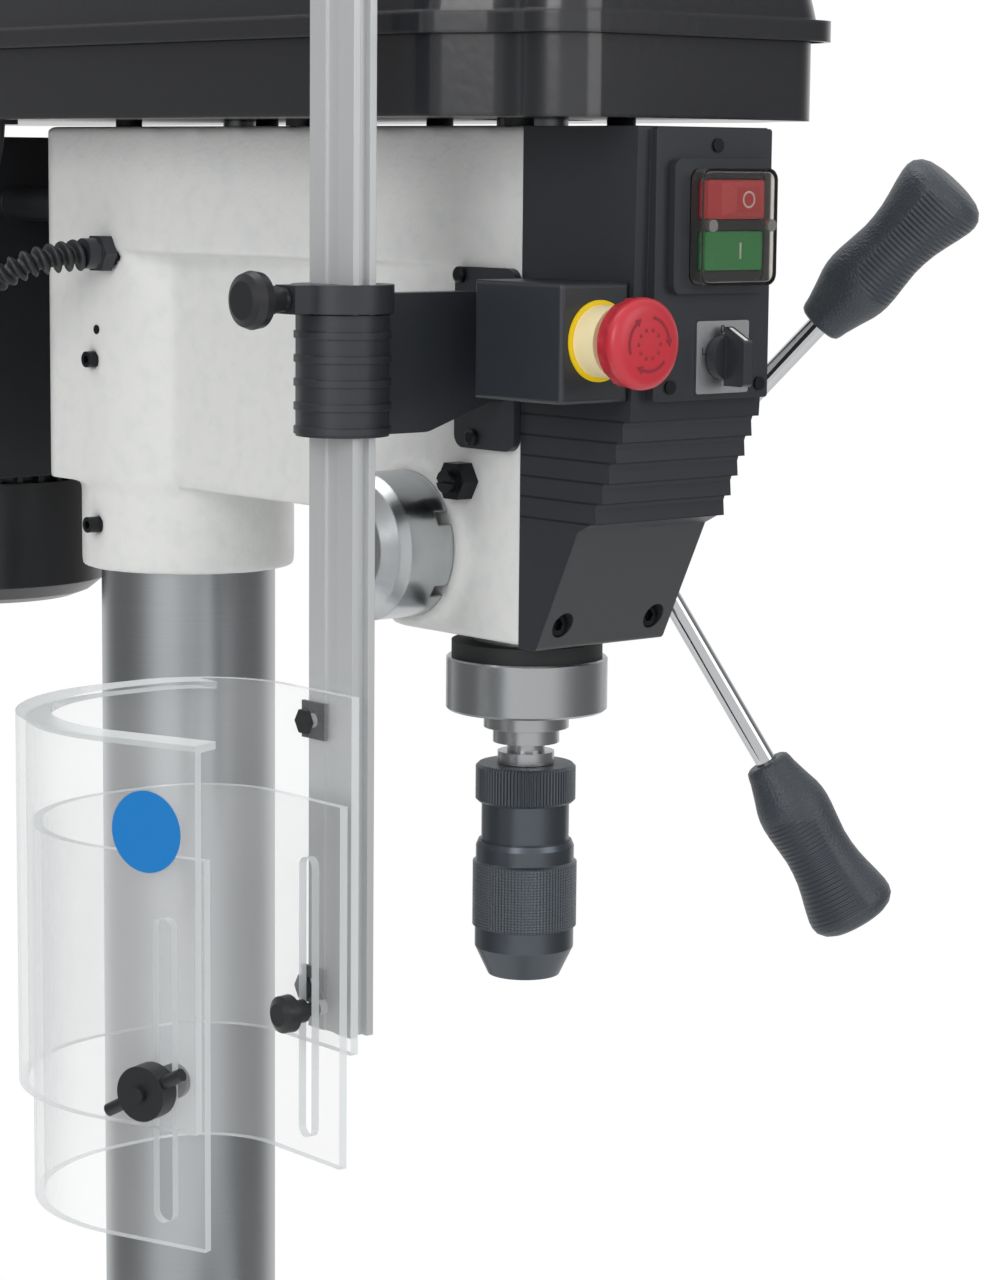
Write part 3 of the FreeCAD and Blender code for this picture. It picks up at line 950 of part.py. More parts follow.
MOTOR_LEAD = ((-46, -10, DATUM - 45), (-88, -10, DATUM - 45), (-112, 8, DATUM - 58), (-118, 46, DATUM - 80),
              (-104, 92, DATUM - 97), (-72, 134, DATUM - 100), (-72, MOTOR_Y - 29, DATUM - 100))
motor_lead = route(MOTOR_LEAD, 3.4)
save("motor_lead", motor_lead)
SWITCH_LEAD = ((-72, 62, PAN_Z + 10), (-72, 62, PAN_Z - 22), (-87, 70, DATUM - 28), (-91, 102, DATUM - 56),
               (-88, 136, DATUM - 72), (-88, MOTOR_Y - 35, DATUM - 72))
switch_lead = route(SWITCH_LEAD, 3.4)
save("switch_lead", switch_lead)
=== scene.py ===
import math

import bmesh
import bpy
from mathutils import Matrix, Vector


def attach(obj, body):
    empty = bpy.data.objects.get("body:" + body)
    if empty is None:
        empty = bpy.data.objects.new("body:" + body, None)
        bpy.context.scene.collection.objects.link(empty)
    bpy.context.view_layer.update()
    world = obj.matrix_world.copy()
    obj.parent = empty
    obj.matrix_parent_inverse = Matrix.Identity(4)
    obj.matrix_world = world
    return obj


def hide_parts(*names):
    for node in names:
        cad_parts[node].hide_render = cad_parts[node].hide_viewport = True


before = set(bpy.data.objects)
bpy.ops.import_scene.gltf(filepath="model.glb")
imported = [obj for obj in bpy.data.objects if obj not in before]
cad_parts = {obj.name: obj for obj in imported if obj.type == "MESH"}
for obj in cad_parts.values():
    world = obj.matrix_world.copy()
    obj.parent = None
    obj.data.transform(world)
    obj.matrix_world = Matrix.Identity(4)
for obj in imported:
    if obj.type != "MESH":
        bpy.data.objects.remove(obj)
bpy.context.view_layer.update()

# ---- camera, floor and light ------------------------------------------------
# The press stands on a plain pale studio floor and is seen from its left front,
# level with the head, through a long lens. Large soft boxes light it evenly.
# HEAD is the height above the floor from which the head's details are placed.
HEAD = 1.480
eye_data = bpy.data.cameras.new("eye")
eye_data.lens = 95.1
eye_data.sensor_width = 36.0
eye_data.clip_start = 0.05
eye_data.clip_end = 100.0
eye = bpy.data.objects.new("eye", eye_data)
bpy.context.collection.objects.link(eye)
eye.matrix_world = (
    Matrix.Translation((-0.998, -1.4175, HEAD))
    @ Matrix.Rotation(math.radians(-40.347), 4, "Z")
    @ Matrix.Rotation(math.radians(90 - 7.9985), 4, "X")
    @ Matrix.Rotation(math.radians(0.530), 4, "Z")
)
bpy.context.scene.camera = eye
bpy.context.scene.view_settings.view_transform = "Standard"


def linear(code):
    # an sRGB hex colour as the linear one that a shader takes
    parts = [int(code[i:i + 2], 16) / 255 for i in (1, 3, 5)]
    parts = [p / 12.92 if p <= 0.04045 else ((p + 0.055) / 1.055) ** 2.4 for p in parts]
    return (*parts, 1.0)


def add(tree, kind, values=None, links=None, **settings):
    # one shader node with its settings, fixed inputs and incoming links
    made = tree.nodes.new("ShaderNode" + kind)
    for key, value in settings.items():
        setattr(made, key, value)
    for key, value in (values or {}).items():
        made.inputs[key].default_value = value
    for key, source in (links or {}).items():
        tree.links.new(source, made.inputs[key])
    return made


def calc(tree, operation, *operands):
    # one maths node; each operand is a number or the output of another node
    made = tree.nodes.new("ShaderNodeMath")
    made.operation = operation
    for k, operand in enumerate(operands):
        if isinstance(operand, bpy.types.NodeSocket):
            tree.links.new(operand, made.inputs[k])
        else:
            made.inputs[k].default_value = operand
    return made.outputs["Value"]


def material(name, colour, roughness, metallic=0.0, **more):
    # a Principled material with its tree, shader and the object coordinates
    made = bpy.data.materials.new(name)
    made.use_nodes = True
    tree = made.node_tree
    shader = tree.nodes["Principled BSDF"]
    shader.inputs["Base Color"].default_value = linear(colour)
    shader.inputs["Roughness"].default_value = roughness
    shader.inputs["Metallic"].default_value = metallic
    for key, value in more.items():
        shader.inputs[key.replace("_", " ")].default_value = value
    where = add(tree, "TexCoord").outputs["Object"]
    return made, tree, shader, where


def relief(tree, shader, height, depth, edge=0.0005):
    # rounds every arris by edge metres and lifts the surface by depth metres
    soft = add(tree, "Bevel", {"Radius": edge}, samples=3)
    bump = add(tree, "Bump", {"Strength": 1.0, "Distance": depth},
               {"Height": height, "Normal": soft.outputs["Normal"]})
    tree.links.new(bump.outputs["Normal"], shader.inputs["Normal"])


def piece(name, bm, skin, body, *stands_for, slot=None, smooth=True):
    # a finished bmesh as an object at the origin that rides on a CAD body
    mesh = bpy.data.meshes.new(name)
    for face in bm.faces:
        face.smooth = smooth
    bm.to_mesh(mesh)
    bm.free()
    made = bpy.data.objects.new(name, mesh)
    bpy.context.collection.objects.link(made)
    mesh.materials.append(skin)
    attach(made, body)
    if stands_for:
        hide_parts(*stands_for)
    return made


def dress(skin, slot, *names):
    # gives CAD nodes their finish
    for name in names:
        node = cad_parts[name]
        node.data.materials.clear()
        node.data.materials.append(skin)


FLOOR_RADIUS = 1.9
floor_skin = material("studio_floor_paint", "#F4F4F3", 0.9)[0]
bm = bmesh.new()
bmesh.ops.create_circle(bm, cap_ends=True, segments=96, radius=FLOOR_RADIUS)
floor_mesh = bpy.data.meshes.new("floor")
bm.to_mesh(floor_mesh)
bm.free()
floor = bpy.data.objects.new("floor", floor_mesh)
bpy.context.collection.objects.link(floor)
floor_mesh.materials.append(floor_skin)

sky = bpy.data.worlds.new("soft_studio")
bpy.context.scene.world = sky
sky.use_nodes = True
# the walls to the left and right of the camera are dimmer, so that bright metal shades off
CAMERA_RIGHT = (0.762, -0.647)
studio = sky.node_tree
towards = add(studio, "TexCoord").outputs["Generated"]
split = add(studio, "SeparateXYZ", {}, {"Vector": towards}).outputs
east = calc(studio, "MULTIPLY", split["X"], CAMERA_RIGHT[0])
north = calc(studio, "MULTIPLY", split["Y"], CAMERA_RIGHT[1])
aside = calc(studio, "ABSOLUTE", calc(studio, "ADD", east, north))
wall = add(studio, "MapRange", {"From Min": 0.55, "From Max": 0.97, "To Min": 0.86, "To Max": 0.22},
           {"Value": aside}, interpolation_type="SMOOTHSTEP").outputs["Result"]
seen = add(studio, "LightPath").outputs["Is Camera Ray"]
backdrop = studio.nodes["Background"]
studio.links.new(calc(studio, "MAXIMUM", wall, seen), backdrop.inputs["Strength"])
backdrop.inputs["Color"].default_value = linear("#FFFFFF")
LAMP_AIM = Vector((0.0, -0.2, 1.35))
# each lamp's name, place, side in metres and power in watts
LAMPS = (
    ("key_box", (-2.6, -1.3, 2.4), 1.4, 22.0),
    ("front_box", (0.9, -2.6, 2.1), 1.4, 12.0),
    ("top_box", (-0.4, 0.5, 3.4), 1.8, 20.0),
)
for name, place, size, power in LAMPS:
    lamp_data = bpy.data.lights.new(name, "AREA")
    lamp_data.shape = "SQUARE"
    lamp_data.size = size
    lamp_data.energy = power
    lamp = bpy.data.objects.new(name, lamp_data)
    bpy.context.collection.objects.link(lamp)
    aim = LAMP_AIM - Vector(place)
    lamp.rotation_mode = "QUATERNION"
    lamp.rotation_quaternion = aim.to_track_quat("-Z", "Y")
    lamp.location = place

# ---- the two cables ------------------------------------------------------------
# Round flexible cables with a smooth black PVC sheath, 6.8 mm thick. One runs from
# the gland on the head to the motor's terminal box, the other from the belt cover.
pvc = material("soft_pvc_cable_sheath", "#222326", 0.38)[0]
LEAD_D = 0.0068


def lead(name, points, node):
    curve = bpy.data.curves.new(name, "CURVE")
    curve.dimensions = "3D"
    spline = curve.splines.new("NURBS")
    spline.points.add(len(points) - 1)
    for knot, (x, y, z) in zip(spline.points, points):
        knot.co = (x, y, z, 1.0)
    spline.order_u = 3
    spline.use_endpoint_u = True
    spline.resolution_u = 16
    curve.bevel_depth = LEAD_D / 2
    curve.bevel_resolution = 5
    curve.use_fill_caps = True
    curve.materials.append(pvc)
    made = bpy.data.objects.new(name, curve)
    bpy.context.collection.objects.link(made)
    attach(made, "frame")
    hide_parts(node)
    return made


MOTOR_LEAD = (
    (-0.046, -0.010, 1.435), (-0.088, -0.010, 1.435), (-0.112, 0.008, 1.422), (-0.118, 0.046, 1.400),
    (-0.104, 0.092, 1.383), (-0.072, 0.134, 1.380), (-0.072, 0.181, 1.380),
)
motor_flex = lead("motor_flex", MOTOR_LEAD, "motor_lead")
SWITCH_LEAD = (
    (-0.072, 0.062, 1.510), (-0.072, 0.062, 1.478), (-0.087, 0.070, 1.452), (-0.091, 0.102, 1.424),
    (-0.088, 0.136, 1.408), (-0.088, 0.175, 1.408),
)
lead("switch_flex", SWITCH_LEAD, "switch_lead")

# A spiral bend protector of soft black nylon is screwed on the gland and tapers
# down the first part of the motor cable: a thin sleeve with one coiled ridge.
nylon = material("moulded_black_nylon", "#1E1F22", 0.42)[0]
SPIRAL_LENGTH = 0.078
SPIRAL_PITCH = 0.0062
SPIRAL_START = 0.022
SLEEVE_R = 0.0043
RIDGE = 0.0030
RIDGE_TAPER = 0.0017
END_R = 0.0037
ROWS = 150
centreline = motor_flex.copy()
centreline.data = motor_flex.data.copy()
centreline.data.bevel_depth = 0.0
track = [vertex.co.copy() for vertex in centreline.to_mesh().vertices]
bpy.data.objects.remove(centreline)
bm = bmesh.new()
bmesh.ops.create_circle(bm, segments=28, radius=1.0)
ring = bm.edges[:]
for _ in range(ROWS):
    grown = bmesh.ops.extrude_edge_only(bm, edges=ring)["geom"]
    ring = [g for g in grown if isinstance(g, bmesh.types.BMEdge)]
    moved = {v for e in ring for v in e.verts}
    ring = [e for e in ring if all(v in moved for v in e.verts)]
    bmesh.ops.translate(bm, verts=list(moved), vec=(0, 0, SPIRAL_LENGTH / ROWS))
side = Vector((0, 0, 1))
frames = []
reach = 0.0
for here, after in zip(track, track[1:]):
    ahead = (after - here).normalized()
    side = (side - ahead * side.dot(ahead)).normalized()
    frames.append((reach, here, ahead, side.copy()))
    reach += (after - here).length
for vertex in bm.verts:
    share = vertex.co.z / SPIRAL_LENGTH
    angle = math.atan2(vertex.co.y, vertex.co.x)
    wave = math.cos(2 * math.pi * (vertex.co.z / SPIRAL_PITCH) - angle)
    radius = SLEEVE_R + (RIDGE - RIDGE_TAPER * share) * max(0.0, 0.5 + 0.9 * wave) ** 0.7
    if share < 0.02 or share > 0.98:
        radius = END_R
    s = SPIRAL_START + vertex.co.z
    at, here, ahead, side = [f for f in frames if f[0] <= s][-1]
    across = ahead.cross(side)
    vertex.co = here + ahead * (s - at) + (side * math.cos(angle) + across * math.sin(angle)) * radius
bmesh.ops.recalc_face_normals(bm, faces=bm.faces)
piece("spiral_bend_protector", bm, nylon, "frame", slot="black_plastic")

# ---- base plate and column flange ---------------------------------------------
# Grey iron castings, sprayed with thick off-white enamel over the sand-cast skin,
# which keeps a fine orange-peel. The base is bolted to a floor through four holes.
enamel, tree, shader, where = material("off_white_enamel_on_cast_iron", "#E9EAE8", 0.42,
                                       Coat_Weight=0.15, Coat_Roughness=0.2)
peel = add(tree, "TexNoise", {"Scale": 420.0, "Detail": 3.0, "Roughness": 0.55}, {"Vector": where})
lumps = add(tree, "TexNoise", {"Scale": 110.0, "Detail": 2.0}, {"Vector": where})
relief(tree, shader, calc(tree, "ADD", peel.outputs["Fac"], lumps.outputs["Fac"]), 0.00022, 0.0012)
shade = add(tree, "ValToRGB", {}, {"Fac": lumps.outputs["Fac"]})
shade.color_ramp.elements[0].position = 0.30
shade.color_ramp.elements[0].color = linear("#DFE1E0")
shade.color_ramp.elements[1].position = 0.55
shade.color_ramp.elements[1].color = linear("#E5E6E4")
tree.links.new(shade.outputs["Color"], shader.inputs["Base Color"])
dress(enamel, "cast", "base_plate", "column_flange", "table_arm")

# ---- fasteners --------------------------------------------------------------------
# Screws, bolts and nuts of steel with a black-oxide skin, a little oily, so that
# their edges catch the light.
black_oxide, tree, shader, where = material("black_oxide_steel", "#2B2C2F", 0.36, 0.75)
mottle = add(tree, "TexNoise", {"Scale": 900.0, "Detail": 2.0}, {"Vector": where})
relief(tree, shader, mottle.outputs["Fac"], 0.00003, 0.0005)
dress(black_oxide, "black_steel", "flange_bolts", "head_screws", "cover_screws", "tilt_bolt",
      "arm_lock_lever")

# ---- column -----------------------------------------------------------------------
# A thick steel tube, 88.9 mm across, ground all round: bright, with fine rings left
# by the wheel that spread the highlights along it.
ground, tree, shader, where = material("centreless_ground_steel", "#B4B6B8", 0.30, 1.0)
rings = add(tree, "Mapping", {"Scale": (9.0, 9.0, 2600.0)}, {"Vector": where})
scratch = add(tree, "TexNoise", {"Scale": 1.0, "Detail": 4.0, "Roughness": 0.6},
              {"Vector": rings.outputs["Vector"]})
tone = add(tree, "MapRange", {"From Min": 0.25, "From Max": 0.75, "To Min": 0.28, "To Max": 0.33},
           {"Value": scratch.outputs["Fac"]})
tree.links.new(tone.outputs["Result"], shader.inputs["Roughness"])
streak = add(tree, "ValToRGB", {}, {"Fac": scratch.outputs["Fac"]})
streak.color_ramp.elements[0].position = 0.25
streak.color_ramp.elements[0].color = linear("#A6A9AC")
streak.color_ramp.elements[1].position = 0.75
streak.color_ramp.elements[1].color = linear("#AFB2B5")
tree.links.new(streak.outputs["Color"], shader.inputs["Base Color"])
relief(tree, shader, scratch.outputs["Fac"], 0.000002, 0.0004)
dress(ground, "steel", "column_tube")

# ---- rack, table and lifting crank ----------------------------------------------
# Machined iron and steel: the table, the rack and the whole crank, its grip too,
# share one milled finish.
milled, tree, shader, where = material("milled_grey_iron", "#A3A5A7", 0.36, 1.0)
strokes = add(tree, "Mapping", {"Scale": (900.0, 12.0, 900.0)}, {"Vector": where})
cutter = add(tree, "TexNoise", {"Scale": 1.0, "Detail": 3.0}, {"Vector": strokes.outputs["Vector"]})
relief(tree, shader, cutter.outputs["Fac"], 0.00004, 0.0008)
dress(milled, "dark_iron", "table", "elevating_rack", "lift_crank")

# ---- turned steel ---------------------------------------------------------------
# The quill with its wide nose, the spindle, the pinion shaft and the depth ring are
# turned and ground steel, with rings so fine that they only soften the highlights.
turned, tree, shader, where = material("turned_steel", "#AEB0B2", 0.26, 1.0)
lathe = add(tree, "Mapping", {"Scale": (8.0, 8.0, 1400.0)}, {"Vector": where})
marks = add(tree, "TexNoise", {"Scale": 1.0, "Detail": 3.0}, {"Vector": lathe.outputs["Vector"]})
relief(tree, shader, marks.outputs["Fac"], 0.00003, 0.0004)
dress(turned, "steel", "quill", "spindle", "feed_shaft", "depth_ring")

# ---- head casting ---------------------------------------------------------------
# One iron casting holds the column, the quill and the feed shaft. Its edges are
# blended as a foundry pattern has them, and it wears the same off-white enamel.
bm = bmesh.new()
bm.from_mesh(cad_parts["head_casting"].data)
bmesh.ops.remove_doubles(bm, verts=bm.verts, dist=0.00001)
head = piece("head_skin", bm, enamel, "frame", "head_casting", slot="cast")
grain = head.modifiers.new("foundry_blend", "REMESH")
grain.mode = "VOXEL"
grain.voxel_size = 0.0023
grain.use_smooth_shade = True
ease = head.modifiers.new("ease", "SMOOTH")
ease.factor = 0.5
ease.iterations = 3

# a tapped hole, left open above the upper clamping screw, drawn as a flat dark disc on the surface: painted
# shade in place of the hole's shaded mouth
TAPPED_AT = Vector((-0.0561, -0.001, HEAD - 0.083))
TAPPED_R = 0.0023
bm = bmesh.new()
bmesh.ops.create_cone(bm, cap_ends=True, segments=32, radius1=TAPPED_R, radius2=TAPPED_R, depth=0.0006,
                      matrix=Matrix.Translation(TAPPED_AT) @ Matrix.Rotation(math.radians(90), 4, "Y"))
piece("tapped_hole_painted_shade", bm, black_oxide, "frame", smooth=False)

# ---- front cover ------------------------------------------------------------------
# Injection-moulded black ABS with a fine spark-eroded grain, screwed on the front
# of the casting. It carries the switchgear.
abs_black, tree, shader, where = material("spark_grained_black_abs", "#2C2F34", 0.34)
spark = add(tree, "TexNoise", {"Scale": 1500.0, "Detail": 2.0}, {"Vector": where})
relief(tree, shader, spark.outputs["Fac"], 0.00006, 0.0007)
dress(abs_black, "black_plastic", "estop_box", "switch_bezel", "guard_bracket", "guard_clamp",
      "cable_gland")
# six overlapping ribs run round the lower half of the cover, with a groove under each; the groove is also
# darkened in colour as painted shade
RIBS = 6
RIB_PITCH = 0.009
RIBS_TOP = HEAD - 0.10675
HALF_GAP = 0.055
ribbed_abs, tree, shader, where = material("ribbed_black_abs_cover", "#2C2F34", 0.34)
upright = add(tree, "SeparateXYZ", {}, {"Vector": where}).outputs["Z"]
count = calc(tree, "MULTIPLY_ADD", upright, -1 / RIB_PITCH, RIBS_TOP / RIB_PITCH + 0.5)
away = calc(tree, "ABSOLUTE", calc(tree, "SUBTRACT", calc(tree, "FRACT", count), 0.5))
near = calc(tree, "LESS_THAN", away, HALF_GAP)
above = calc(tree, "GREATER_THAN", count, 0.0)
below = calc(tree, "LESS_THAN", count, RIBS)
groove_and_painted_shade = calc(tree, "MULTIPLY", near, calc(tree, "MULTIPLY", above, below))
# painted shade: the base colour darkens to #131416 in the groove under each rib
shadow = add(tree, "ValToRGB", {}, {"Fac": groove_and_painted_shade})
shadow.color_ramp.elements[0].color = linear("#2C2F34")
shadow.color_ramp.elements[1].color = linear("#131416")
tree.links.new(shadow.outputs["Color"], shader.inputs["Base Color"])
grit = add(tree, "TexNoise", {"Scale": 1500.0, "Detail": 2.0}, {"Vector": where})
fine = calc(tree, "MULTIPLY", grit.outputs["Fac"], 0.12)
relief(tree, shader, calc(tree, "SUBTRACT", fine, groove_and_painted_shade), 0.0005, 0.0007)
dress(ribbed_abs, "black_plastic", "front_cover")
dress(nylon, "black_plastic", "clamp_knob", "slide_knob", "wing_nut", "guard_bolts")

# ---- push buttons under their clear boot -----------------------------------------
# The red stop button and the green start button are moulded polycarbonate with
# printed marks, under a soft clear boot held by two bright screws.
red_button = material("moulded_red_polycarbonate", "#DE444A", 0.30)[0]
green_button = material("moulded_green_polycarbonate", "#3FA05A", 0.30)[0]
white_ink = material("white_printing_ink", "#F2F0EC", 0.5)[0]
dress(red_button, "red", "stop_button")
dress(green_button, "green", "start_button")
FACE_Y = -0.3805
BUTTON_X = 0.0118
WEDGE_X = 0.0135
STOP_Z = HEAD - 0.0135
START_Z = HEAD - 0.035
# the stop button's raised wedge narrows towards its face
bm = bmesh.new()
bmesh.ops.create_cube(bm, size=1.0, matrix=Matrix.Translation((BUTTON_X, FACE_Y - 0.0084, STOP_Z))
                      @ Matrix.Diagonal((0.0245, 0.0020, 0.0150, 1)))
for vertex in bm.verts:
    if vertex.co.y < FACE_Y - 0.0090:
        vertex.co.x = WEDGE_X + (vertex.co.x - BUTTON_X) * 0.57
        vertex.co.z = STOP_Z + (vertex.co.z - STOP_Z) * 0.66
bmesh.ops.bevel(bm, geom=bm.edges[:], offset=0.0004, affect="EDGES", segments=2, profile=0.5, material=-1)
piece("stop_wedge", bm, red_button, "stop_button", smooth=False)
bm = bmesh.new()
for radius in (0.0036, 0.0028):
    bmesh.ops.create_circle(bm, segments=40, radius=radius)
bmesh.ops.transform(bm, matrix=Matrix.Translation((WEDGE_X, FACE_Y - 0.0095, STOP_Z))
                    @ Matrix.Rotation(math.radians(90), 4, "X"), verts=bm.verts)
bmesh.ops.bridge_loops(bm, edges=bm.edges)
flat = bmesh.ops.extrude_face_region(bm, geom=bm.faces[:])["geom"]
bmesh.ops.translate(bm, verts=[g for g in flat if isinstance(g, bmesh.types.BMVert)], vec=(0, 0.0006, 0))
bmesh.ops.recalc_face_normals(bm, faces=bm.faces)
piece("stop_mark", bm, white_ink, "stop_button", smooth=False)
bm = bmesh.new()
bmesh.ops.create_cube(bm, size=1.0, matrix=Matrix.Translation((BUTTON_X, FACE_Y - 0.0063, START_Z))
                      @ Matrix.Diagonal((0.0009, 0.0006, 0.0068, 1)))
piece("start_mark", bm, white_ink, "start_button", smooth=False)
clear_pvc, tree, shader, where = material("clear_soft_pvc", "#F2EFEA", 0.12, IOR=1.53,
                                          Transmission_Weight=1.0)
ripple = add(tree, "TexNoise", {"Scale": 90.0}, {"Vector": where})
relief(tree, shader, ripple.outputs["Fac"], 0.00008, 0.0008)
dress(clear_pvc, "clear", "switch_boot")
bright = material("nickel_plated_screw", "#C9C7C3", 0.2, 1.0)[0]
BOOT_SCREW_Z = HEAD - 0.0243
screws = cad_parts["cover_screws"].data
screws.materials.append(bright)
for facet in screws.polygons:
    if abs(facet.center.z - BOOT_SCREW_Z) < 0.004:
        facet.material_index = 1

# ---- selector switch ----------------------------------------------------------------
# A three-position cam switch: a brushed aluminium plate printed with its three
# positions and a black handle with a white pointer line.
brushed, tree, shader, where = material("brushed_aluminium_plate", "#B9BABC", 0.38, 1.0)
upright = add(tree, "Mapping", {"Scale": (2500.0, 2500.0, 60.0)}, {"Vector": where})
hair = add(tree, "TexNoise", {"Scale": 1.0, "Detail": 2.0}, {"Vector": upright.outputs["Vector"]})
relief(tree, shader, hair.outputs["Fac"], 0.00004, 0.0002)
black_ink = material("black_printing_ink", "#2A2A2C", 0.5)[0]
bm = bmesh.new()
bmesh.ops.create_cube(bm, size=1.0, matrix=Matrix.Translation((0.0083, FACE_Y - 0.0006, HEAD - 0.080))
                      @ Matrix.Diagonal((0.0306, 0.0012, 0.0308, 1)))
bmesh.ops.bevel(bm, geom=[e for e in bm.edges if abs(e.verts[0].co.y - e.verts[1].co.y) > 0.001],
                offset=0.0012, affect="EDGES", segments=4, profile=0.5, material=-1)
piece("selector_plate", bm, brushed, "frame", "switch_legends", slot="legend", smooth=False)
for mark, x, z in (("0", 0.008, -0.0683), ("L", -0.0030, -0.0775), ("R", 0.0195, -0.0775)):
    letter = bpy.data.curves.new("print_" + mark, "FONT")
    letter.body = mark
    letter.size = 0.0048
    letter.align_x = "CENTER"
    letter.align_y = "CENTER"
    letter.extrude = 0.00008
    printed = bpy.data.objects.new("print", letter)
    mesh = bpy.data.meshes.new_from_object(printed)
    mesh.transform(Matrix.Translation((x, FACE_Y - 0.0013, HEAD + z))
                   @ Matrix.Rotation(math.radians(90), 4, "X"))
    bm = bmesh.new()
    bm.from_mesh(mesh)
    piece("selector_mark_" + mark, bm, black_ink, "frame", smooth=False)
dress(abs_black, "black_plastic", "selector_knob")
HANDLE_SLOPE = math.atan2(6.0, 12.0)
bm = bmesh.new()
bmesh.ops.create_cube(bm, size=1.0, matrix=Matrix.Translation((0.008, FACE_Y - 0.0110, HEAD - 0.06995))
                      @ Matrix.Rotation(HANDLE_SLOPE, 4, "X")
                      @ Matrix.Diagonal((0.0018, 0.0108, 0.0003, 1)))
piece("selector_pointer", bm, white_ink, "selector", smooth=False)

# ---- emergency stop -------------------------------------------------------------------
# A red mushroom button of moulded nylon, 38 mm across, with finger grooves round
# its side, release arrows and dots. It stands on a cream collar and a yellow ring.
signal_red = material("moulded_red_nylon", "#C22F3C", 0.34, Subsurface_Weight=0.05, Subsurface_Scale=0.003)[0]
STOP_AT = Vector((-0.055, -0.404, HEAD - 0.072))
bm = bmesh.new()
MUSHROOM = (
    (0.0, 0.0), (0.0128, 0.0), (0.0152, 0.0003), (0.0173, 0.0012), (0.0187, 0.0026), (0.0190, 0.0042),
    (0.0190, 0.0058), (0.0178, 0.0064), (0.0178, 0.0112), (0.0174, 0.0128), (0.0163, 0.0138),
    (0.0130, 0.0146), (0.0070, 0.0146), (0.0070, 0.0640), (0.0, 0.0640),
)
chain = [bm.verts.new((radius, depth, 0)) for radius, depth in MUSHROOM]
edges = [bm.edges.new(pair) for pair in zip(chain, chain[1:])]
bmesh.ops.spin(bm, geom=chain + edges, cent=(0, 0, 0), axis=(0, 1, 0), angle=2 * math.pi, steps=72,
               use_merge=True, use_duplicate=False)
bmesh.ops.remove_doubles(bm, verts=bm.verts, dist=0.00001)
for vertex in bm.verts:
    out = math.hypot(vertex.co.x, vertex.co.z)
    if 0.0060 < vertex.co.y < 0.0120 and out > 0.0165:
        turn = math.degrees(math.atan2(vertex.co.z, vertex.co.x)) % 30.0
        lift = 1.045 if turn < 14.0 else 1.0
        vertex.co.x *= lift
        vertex.co.z *= lift
bmesh.ops.translate(bm, verts=bm.verts, vec=STOP_AT)
bmesh.ops.recalc_face_normals(bm, faces=bm.faces)
piece("estop_mushroom", bm, signal_red, "estop", "estop_button", slot="red")
deep_red = material("engraved_dark_red", "#8E1F2C", 0.45)[0]
for k in range(3):
    bm = bmesh.new()
    inner = bm.verts.new((0.0104, 0, 0))
    outer = bm.verts.new((0.0117, 0, 0))
    rung = bm.edges.new((inner, outer))
    bmesh.ops.spin(bm, geom=[inner, outer, rung], cent=(0, 0, 0), axis=(0, 1, 0), angle=math.radians(70),
                   steps=14, use_duplicate=False)
    end = Matrix.Rotation(math.radians(70), 4, "Y")
    tips = ((0.0092, 0, 0.0), (0.0129, 0, 0.0), (0.01105, 0, -0.0034))
    bm.faces.new([bm.verts.new(end @ Vector(tip)) for tip in tips])
    bmesh.ops.translate(bm, verts=bm.verts, vec=(0, -0.00012, 0))
    bmesh.ops.rotate(bm, verts=bm.verts, cent=(0, 0, 0),
                     matrix=Matrix.Rotation(math.radians(120 * k + 40), 3, "Y"))
    bmesh.ops.translate(bm, verts=bm.verts, vec=STOP_AT)
    bmesh.ops.recalc_face_normals(bm, faces=bm.faces)
    piece("estop_arrow_%d" % (k + 1), bm, deep_red, "estop", smooth=False)
DOTS_R = 0.0060
bm = bmesh.new()
for k in range(10):
    turn = math.radians(36 * k)
    spot = Matrix.Translation(STOP_AT + Vector((DOTS_R * math.cos(turn), 0, DOTS_R * math.sin(turn))))
    bmesh.ops.create_uvsphere(bm, u_segments=12, v_segments=8, radius=0.0008,
                              matrix=spot @ Matrix.Diagonal((1, 0.5, 1, 1)))
piece("estop_dots", bm, deep_red, "estop")
yellow = material("yellow_printed_label", "#F0CF00", 0.45)[0]
cream = material("cream_moulded_collar", "#F1E2B4", 0.42)[0]
for name, skin, outer, inner, front, back in (
    ("estop_label", yellow, 0.0170, 0.0110, -0.3738, -0.3730),
    ("estop_collar", cream, 0.0150, 0.0071, -0.3860, -0.3739),
):
    bm = bmesh.new()
    corners = ((outer, front, 0), (outer, back, 0), (inner, back, 0), (inner, front, 0))
    loop = [bm.verts.new(corner) for corner in corners]
    edges = [bm.edges.new((loop[i - 1], loop[i])) for i in range(4)]
    bmesh.ops.spin(bm, geom=loop + edges, cent=(0, 0, 0), axis=(0, 1, 0), angle=2 * math.pi, steps=72,
                   use_merge=True, use_duplicate=False)
    bmesh.ops.remove_doubles(bm, verts=bm.verts, dist=0.00001)
    bmesh.ops.translate(bm, verts=bm.verts, vec=(STOP_AT.x, 0, STOP_AT.z))
    bmesh.ops.recalc_face_normals(bm, faces=bm.faces)
    made = piece(name, bm, skin, "frame", smooth=False)
    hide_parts("switch_legends")

